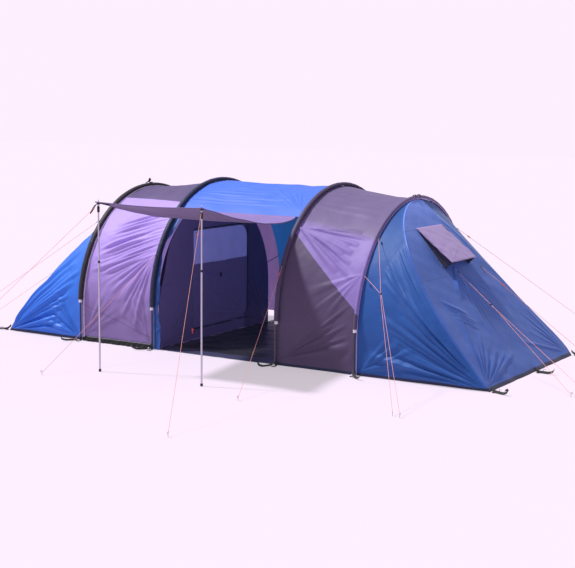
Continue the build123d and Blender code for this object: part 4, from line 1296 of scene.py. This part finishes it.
def make_vent(side):
    """A propped flap over the vent, with mesh gussets at its sides."""
    name, out = SIDE_NAMES[side], OUT[side]
    down = (slope_point(side, 1, 0) - slope_point(side, 0, 0)).normalized()
    lift = Vector((out * -down.z, 0, abs(down.x)))
    hinge = slope_point(side, FLAP_RUN, VENT_Y) + lift * FLAP_LIFT
    along = down * math.cos(FLAP_ANGLE) + lift * math.sin(FLAP_ANGLE)
    normal = lift * math.cos(FLAP_ANGLE) - down * math.sin(FLAP_ANGLE)
    w, u = np.meshgrid(np.linspace(0, 1, 34), np.linspace(-0.5, 0.5, 40), indexing="ij")
    flat = np.stack([u * FLAP_WIDTH, w * FLAP_LENGTH], -1)
    height = 0.010 * np.sin(np.pi * w) * np.cos(np.pi * u)
    height += fan(flat, (-0.32, 0.55), [(-0.1, 0.05), (0.3, 0.35)], 6, 0.03, 0.006, 701 + side)
    height += rumple(flat, 0.12, 0.002, 703 + side)
    hinge_array, along_array, normal_array = (np.array(v) for v in (hinge, along, normal))
    points = hinge_array + along_array * (0.004 + w[..., None] * FLAP_LENGTH)
    points = points + normal_array * height[..., None]
    points = points + np.array((0, 1, 0)) * u[..., None] * FLAP_WIDTH
    if side == 1:
        points = points[:, ::-1]
    flap = sheet_object(f"cloth_flap_{name}", [points], flap_cloth, flap_cloth)
    place_piece(flap, f"vent_flap_{name}", "fly_mauve", f"vent_flap_{name}")
    for way, edge in (("front", -1), ("rear", 1)):
        t, s = np.meshgrid(np.linspace(0.03, 1, 22), np.linspace(0, 1, 8), indexing="ij")
        base = np.array(slope_point(side, FLAP_RUN, 0)) + np.array(down) * (t[..., None] * FLAP_LENGTH)
        tip = hinge_array * (1, 0, 1) + along_array * (t[..., None] * FLAP_LENGTH)
        bow = 0.012 * np.sin(np.pi * s) * t
        y = VENT_Y + edge * (FLAP_WIDTH / 2 - 0.015 - bow - 0.012 * (1 - s))
        gusset = base + np.array(lift) * 0.003 + (tip - base) * s[..., None] * 0.97
        gusset[..., 1] = y
        piece = sheet_object(f"gusset_{name}_{way}", [gusset], gusset_mesh, gusset_mesh, 0.001)
        wide = slope_point(side, FLAP_RUN + FLAP_LENGTH, VENT_Y)
        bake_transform(piece)


for side in (0, 1):
    make_vent(side)

# ---------------------------------------------------------------- ground webbing
STRAP_WIDTH = 0.03
STRAP_DRIFT = (-0.9, -0.8, -0.5, 0.6)           # how far each hoop's strap tails lean along the tent
HEM_ANCHORS = [
    (Vector((hoop.x, way * (hoop.half + 0.02), 0)), Vector((drift, way, 0)).normalized())
    for hoop, drift in zip(HOOPS, STRAP_DRIFT)
    for way in (-1, 1)
]
for side, out in ((0, -1), (1, 1)):
    for corner in (-1, 0, 1):
        spot = Vector((GROUND_X[side] + out * 0.014, END_CENTRE + corner * (END_HALF - 0.02), 0))
        HEM_ANCHORS.append((spot, Vector((out, 0.5 * corner, 0)).normalized()))
# distance from the hem and height of a tail that lies down, lifts and curls
TAIL = (
    (-0.012, 0.045),
    (0.012, 0.022),
    (0.045, 0.006),
    (0.10, 0.004),
    (0.16, 0.005),
    (0.205, 0.022),
    (0.222, 0.05),
)
CURL = ((0.205, 0.066), (0.186, 0.058))


def make_straps():
    straps = []
    rng = np.random.default_rng(800)
    for number, (spot, away) in enumerate(HEM_ANCHORS):
        beside = Vector((-away.y, away.x, 0))
        profile = TAIL + CURL if number % 2 else TAIL
        drift, lift = rng.uniform(-0.5, 0.5), rng.uniform(0.6, 1.1)
        route = []
        for reach, height in profile:
            bend = beside * drift * max(reach, 0) ** 2 * 3
            route.append(spot + away * reach + bend + Vector((0, 0, 0.002 + height * lift)))
        path = curve_through(route, 40) + np.array((0, 0, STRAP_WIDTH / 3))
        on_edge = np.array(beside) + np.array((0, 0, 1.3))
        grid = ribbon_grid(path, on_edge, STRAP_WIDTH)
        straps.append(sheet_object("strap", [grid], strap_webbing, thickness=0.0025))
    for strap in straps:
        bpy.context.view_layer.objects.active = strap
        bpy.ops.object.modifier_apply(modifier="solid")
    piece = joined(straps, "hem_straps")
    place_piece(piece, "tent", "webbing", "base_straps")


make_straps()

# ---------------------------------------------------------------- small trim


def upright(name, x, y, heights, sizes, material, sides=20):
    """A turned part on a vertical axis."""
    return tube(name, [(x, y, z) for z in heights], sizes, material, sides)


def make_pole_trim(side):
    """An awning pole's collar, clamp, foot and tip."""
    name, corner = SIDE_NAMES[side], CANOPY_CORNERS[side]
    x, y, z = corner
    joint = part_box(f"awning_pole_{name}_lower")[1].z
    upper, lower = f"awning_{name}_upper", f"awning_{name}_lower"
    heights = (z - 0.024, z - 0.030, z - 0.085, z - 0.09)
    collar = upright(f"pole_collar_{name}", x, y, heights, (0.009, 0.014, 0.014, 0.009), black_plastic)
    place_piece(collar, upper, "black_plastic")
    heights = (joint - 0.012, joint - 0.01, joint + 0.012, joint + 0.014)
    clamp = upright(f"pole_clamp_{name}", x, y, heights, (0.010, 0.0125, 0.0125, 0.009), black_plastic)
    place_piece(clamp, lower, "black_plastic")
    heights = (0, 0.003, 0.026, 0.03)
    foot = upright(f"pole_foot_{name}", x, y, heights, (0.011, 0.014, 0.014, 0.010), black_plastic)
    place_piece(foot, lower, "black_plastic")
    heights = (z + 0.006, z + 0.03, z + 0.05)
    tip = upright(f"pole_tip_{name}", x, y, heights, (0.005, 0.004, 0.0015), steel, 12)
    place_piece(tip, "canopy", "steel")


for side in (0, 1):
    make_pole_trim(side)

# points of the small trim, from the canopy's left corner or from the first hoop's crown
CORNER_WEB = ((0.10, 0.06, -0.012), (0.0, 0.0, 0.008), (-0.055, -0.005, -0.035))
TOGGLE = ((-0.045, -0.005, -0.02), (-0.06, -0.008, -0.05), (-0.085, -0.012, -0.085), (-0.10, -0.014, -0.11))
CROWN_KNOT = (
    (-0.055, 0.01, 0.020),
    (-0.02, 0, 0.030),
    (0.0, 0, 0.052),
    (0.012, 0, 0.078),
    (0.022, 0, 0.055),
    (0.0, 0, 0.034),
    (0.05, -0.01, 0.026),
)
CROWN_TABS = ((0, 0.0), (3, -0.05), (3, 0.05))      # hoop, and distance across from its crown


def placed(origin, offsets):
    return [origin + Vector(offset) for offset in offsets]


def make_corner_trim():
    """Webbing and a toggle at the canopy's left corner."""
    corner = CANOPY_CORNERS[0]
    path = curve_through(placed(corner, CORNER_WEB), 20)
    grid = ribbon_grid(path, (0, 1, 0.3), 0.03)
    web = sheet_object("corner_webbing", [grid], strap_webbing, thickness=0.003)
    place_piece(web, "canopy", "webbing")
    toggle = tube("corner_toggle", placed(corner, TOGGLE), (0.007, 0.010, 0.009, 0.005), black_plastic, 12)
    place_piece(toggle, "canopy", "black_plastic")


def make_crown_knot():
    crown = Vector((HOOPS[0].x, -0.05, HOOPS[0].top))
    path = curve_through(placed(crown, CROWN_KNOT), 48)
    place_piece(tube("crown_knot", path, 0.0065, strap_webbing, 8, 1.6), "tent", "webbing")


def make_crown_tab(number, shift):
    """A short webbing tab over a sleeve."""
    hoop = HOOPS[number]
    low, high = hoop.top + 0.006, hoop.top + 0.027
    path = [(hoop.x - 0.03, shift, low), (hoop.x, shift, high), (hoop.x + 0.03, shift, low)]
    name = f"crown_tab_{number}_{'rear' if shift > 0 else 'front'}"
    grid = ribbon_grid(curve_through(path, 16), (0, 1, 0), 0.03)
    place_piece(sheet_object(name, [grid], strap_webbing, thickness=0.003), "tent", "webbing")


make_corner_trim()
make_crown_knot()
for number, shift in CROWN_TABS:
    make_crown_tab(number, shift)

# CAD nodes that stay visible, by material
PAINT = (
    (fibreglass, ("hoop_pole_1", "hoop_pole_2", "hoop_pole_3", "hoop_pole_4")),
    (steel, ("pole_ferrules", "ground_pegs")),
    (steel, ("awning_pole_left_upper", "awning_pole_left_lower")),
    (steel, ("awning_pole_right_upper", "awning_pole_right_lower")),
    (black_plastic, ("hoop_feet", "base_buckles", "guy_junctions", "canopy_corner_caps")),
    (vent_netting, ("vent_mesh_left", "vent_mesh_right")),
    (pull_plastic, ("zip_slider_left", "zip_slider_right")),
    (orange_plastic, ON_CORD.values()),
    (white_plastic, ("sleeve_end_caps",)),
    (zip_tape, ("door_zips",)),
    (strap_webbing, ("inner_ties", "guy_tabs")),
)
for material, painted in PAINT:
    for node in painted:
        repaint(node, material)

# ---------------------------------------------------------------- stage and light


FLOOR_HALF = 60


def make_stage():
    """A pale floor, soft studio light and a plain ground behind."""
    mesh = bpy.data.meshes.new("floor")
    size = FLOOR_HALF
    corners = [(-size, -size, 0), (size, -size, 0), (size, size, 0), (-size, size, 0)]
    mesh.from_pydata(corners, [], [(0, 1, 2, 3)])
    floor = bpy.data.objects.new("floor", mesh)
    floor.location.z = -0.001
    bpy.context.scene.collection.objects.link(floor)
    shader = Shader("floor")
    base = shader.shade(linear((170, 152, 172)), shader.noise(0.6, 2), 0.995, 1.005)
    shader.principled.inputs["Emission Color"].default_value = linear((252, 246, 249))
    mesh.materials.append(shader.finish(base, 0.9, Emission_Strength=0.47, Specular_IOR_Level=0.0))
    world = bpy.data.worlds.new("world")
    world.use_nodes = True
    nodes, links = world.node_tree.nodes, world.node_tree.links
    seen = nodes["Background"]
    seen.inputs["Color"].default_value = linear((254, 239, 255))
    light = nodes.new("ShaderNodeBackground")
    light.inputs["Color"].default_value = linear((244, 240, 255))
    light.inputs["Strength"].default_value = 0.5
    rays, blend = nodes.new("ShaderNodeLightPath"), nodes.new("ShaderNodeMixShader")
    links.new(rays.outputs["Is Camera Ray"], blend.inputs["Fac"])
    links.new(light.outputs[0], blend.inputs[1])
    links.new(seen.outputs[0], blend.inputs[2])
    links.new(blend.outputs[0], nodes["World Output"].inputs["Surface"])
    bpy.context.scene.world = world
    key = bpy.data.lights.new("key", "SUN")
    key.energy = 3.6
    key.angle = math.radians(5)
    lamp = bpy.data.objects.new("key", key)
    lamp.rotation_euler = Vector((-0.60, -0.20, 1.0)).to_track_quat("Z", "Y").to_euler()
    bpy.context.scene.collection.objects.link(lamp)
    bpy.context.scene.view_settings.view_transform = "Standard"


make_stage()
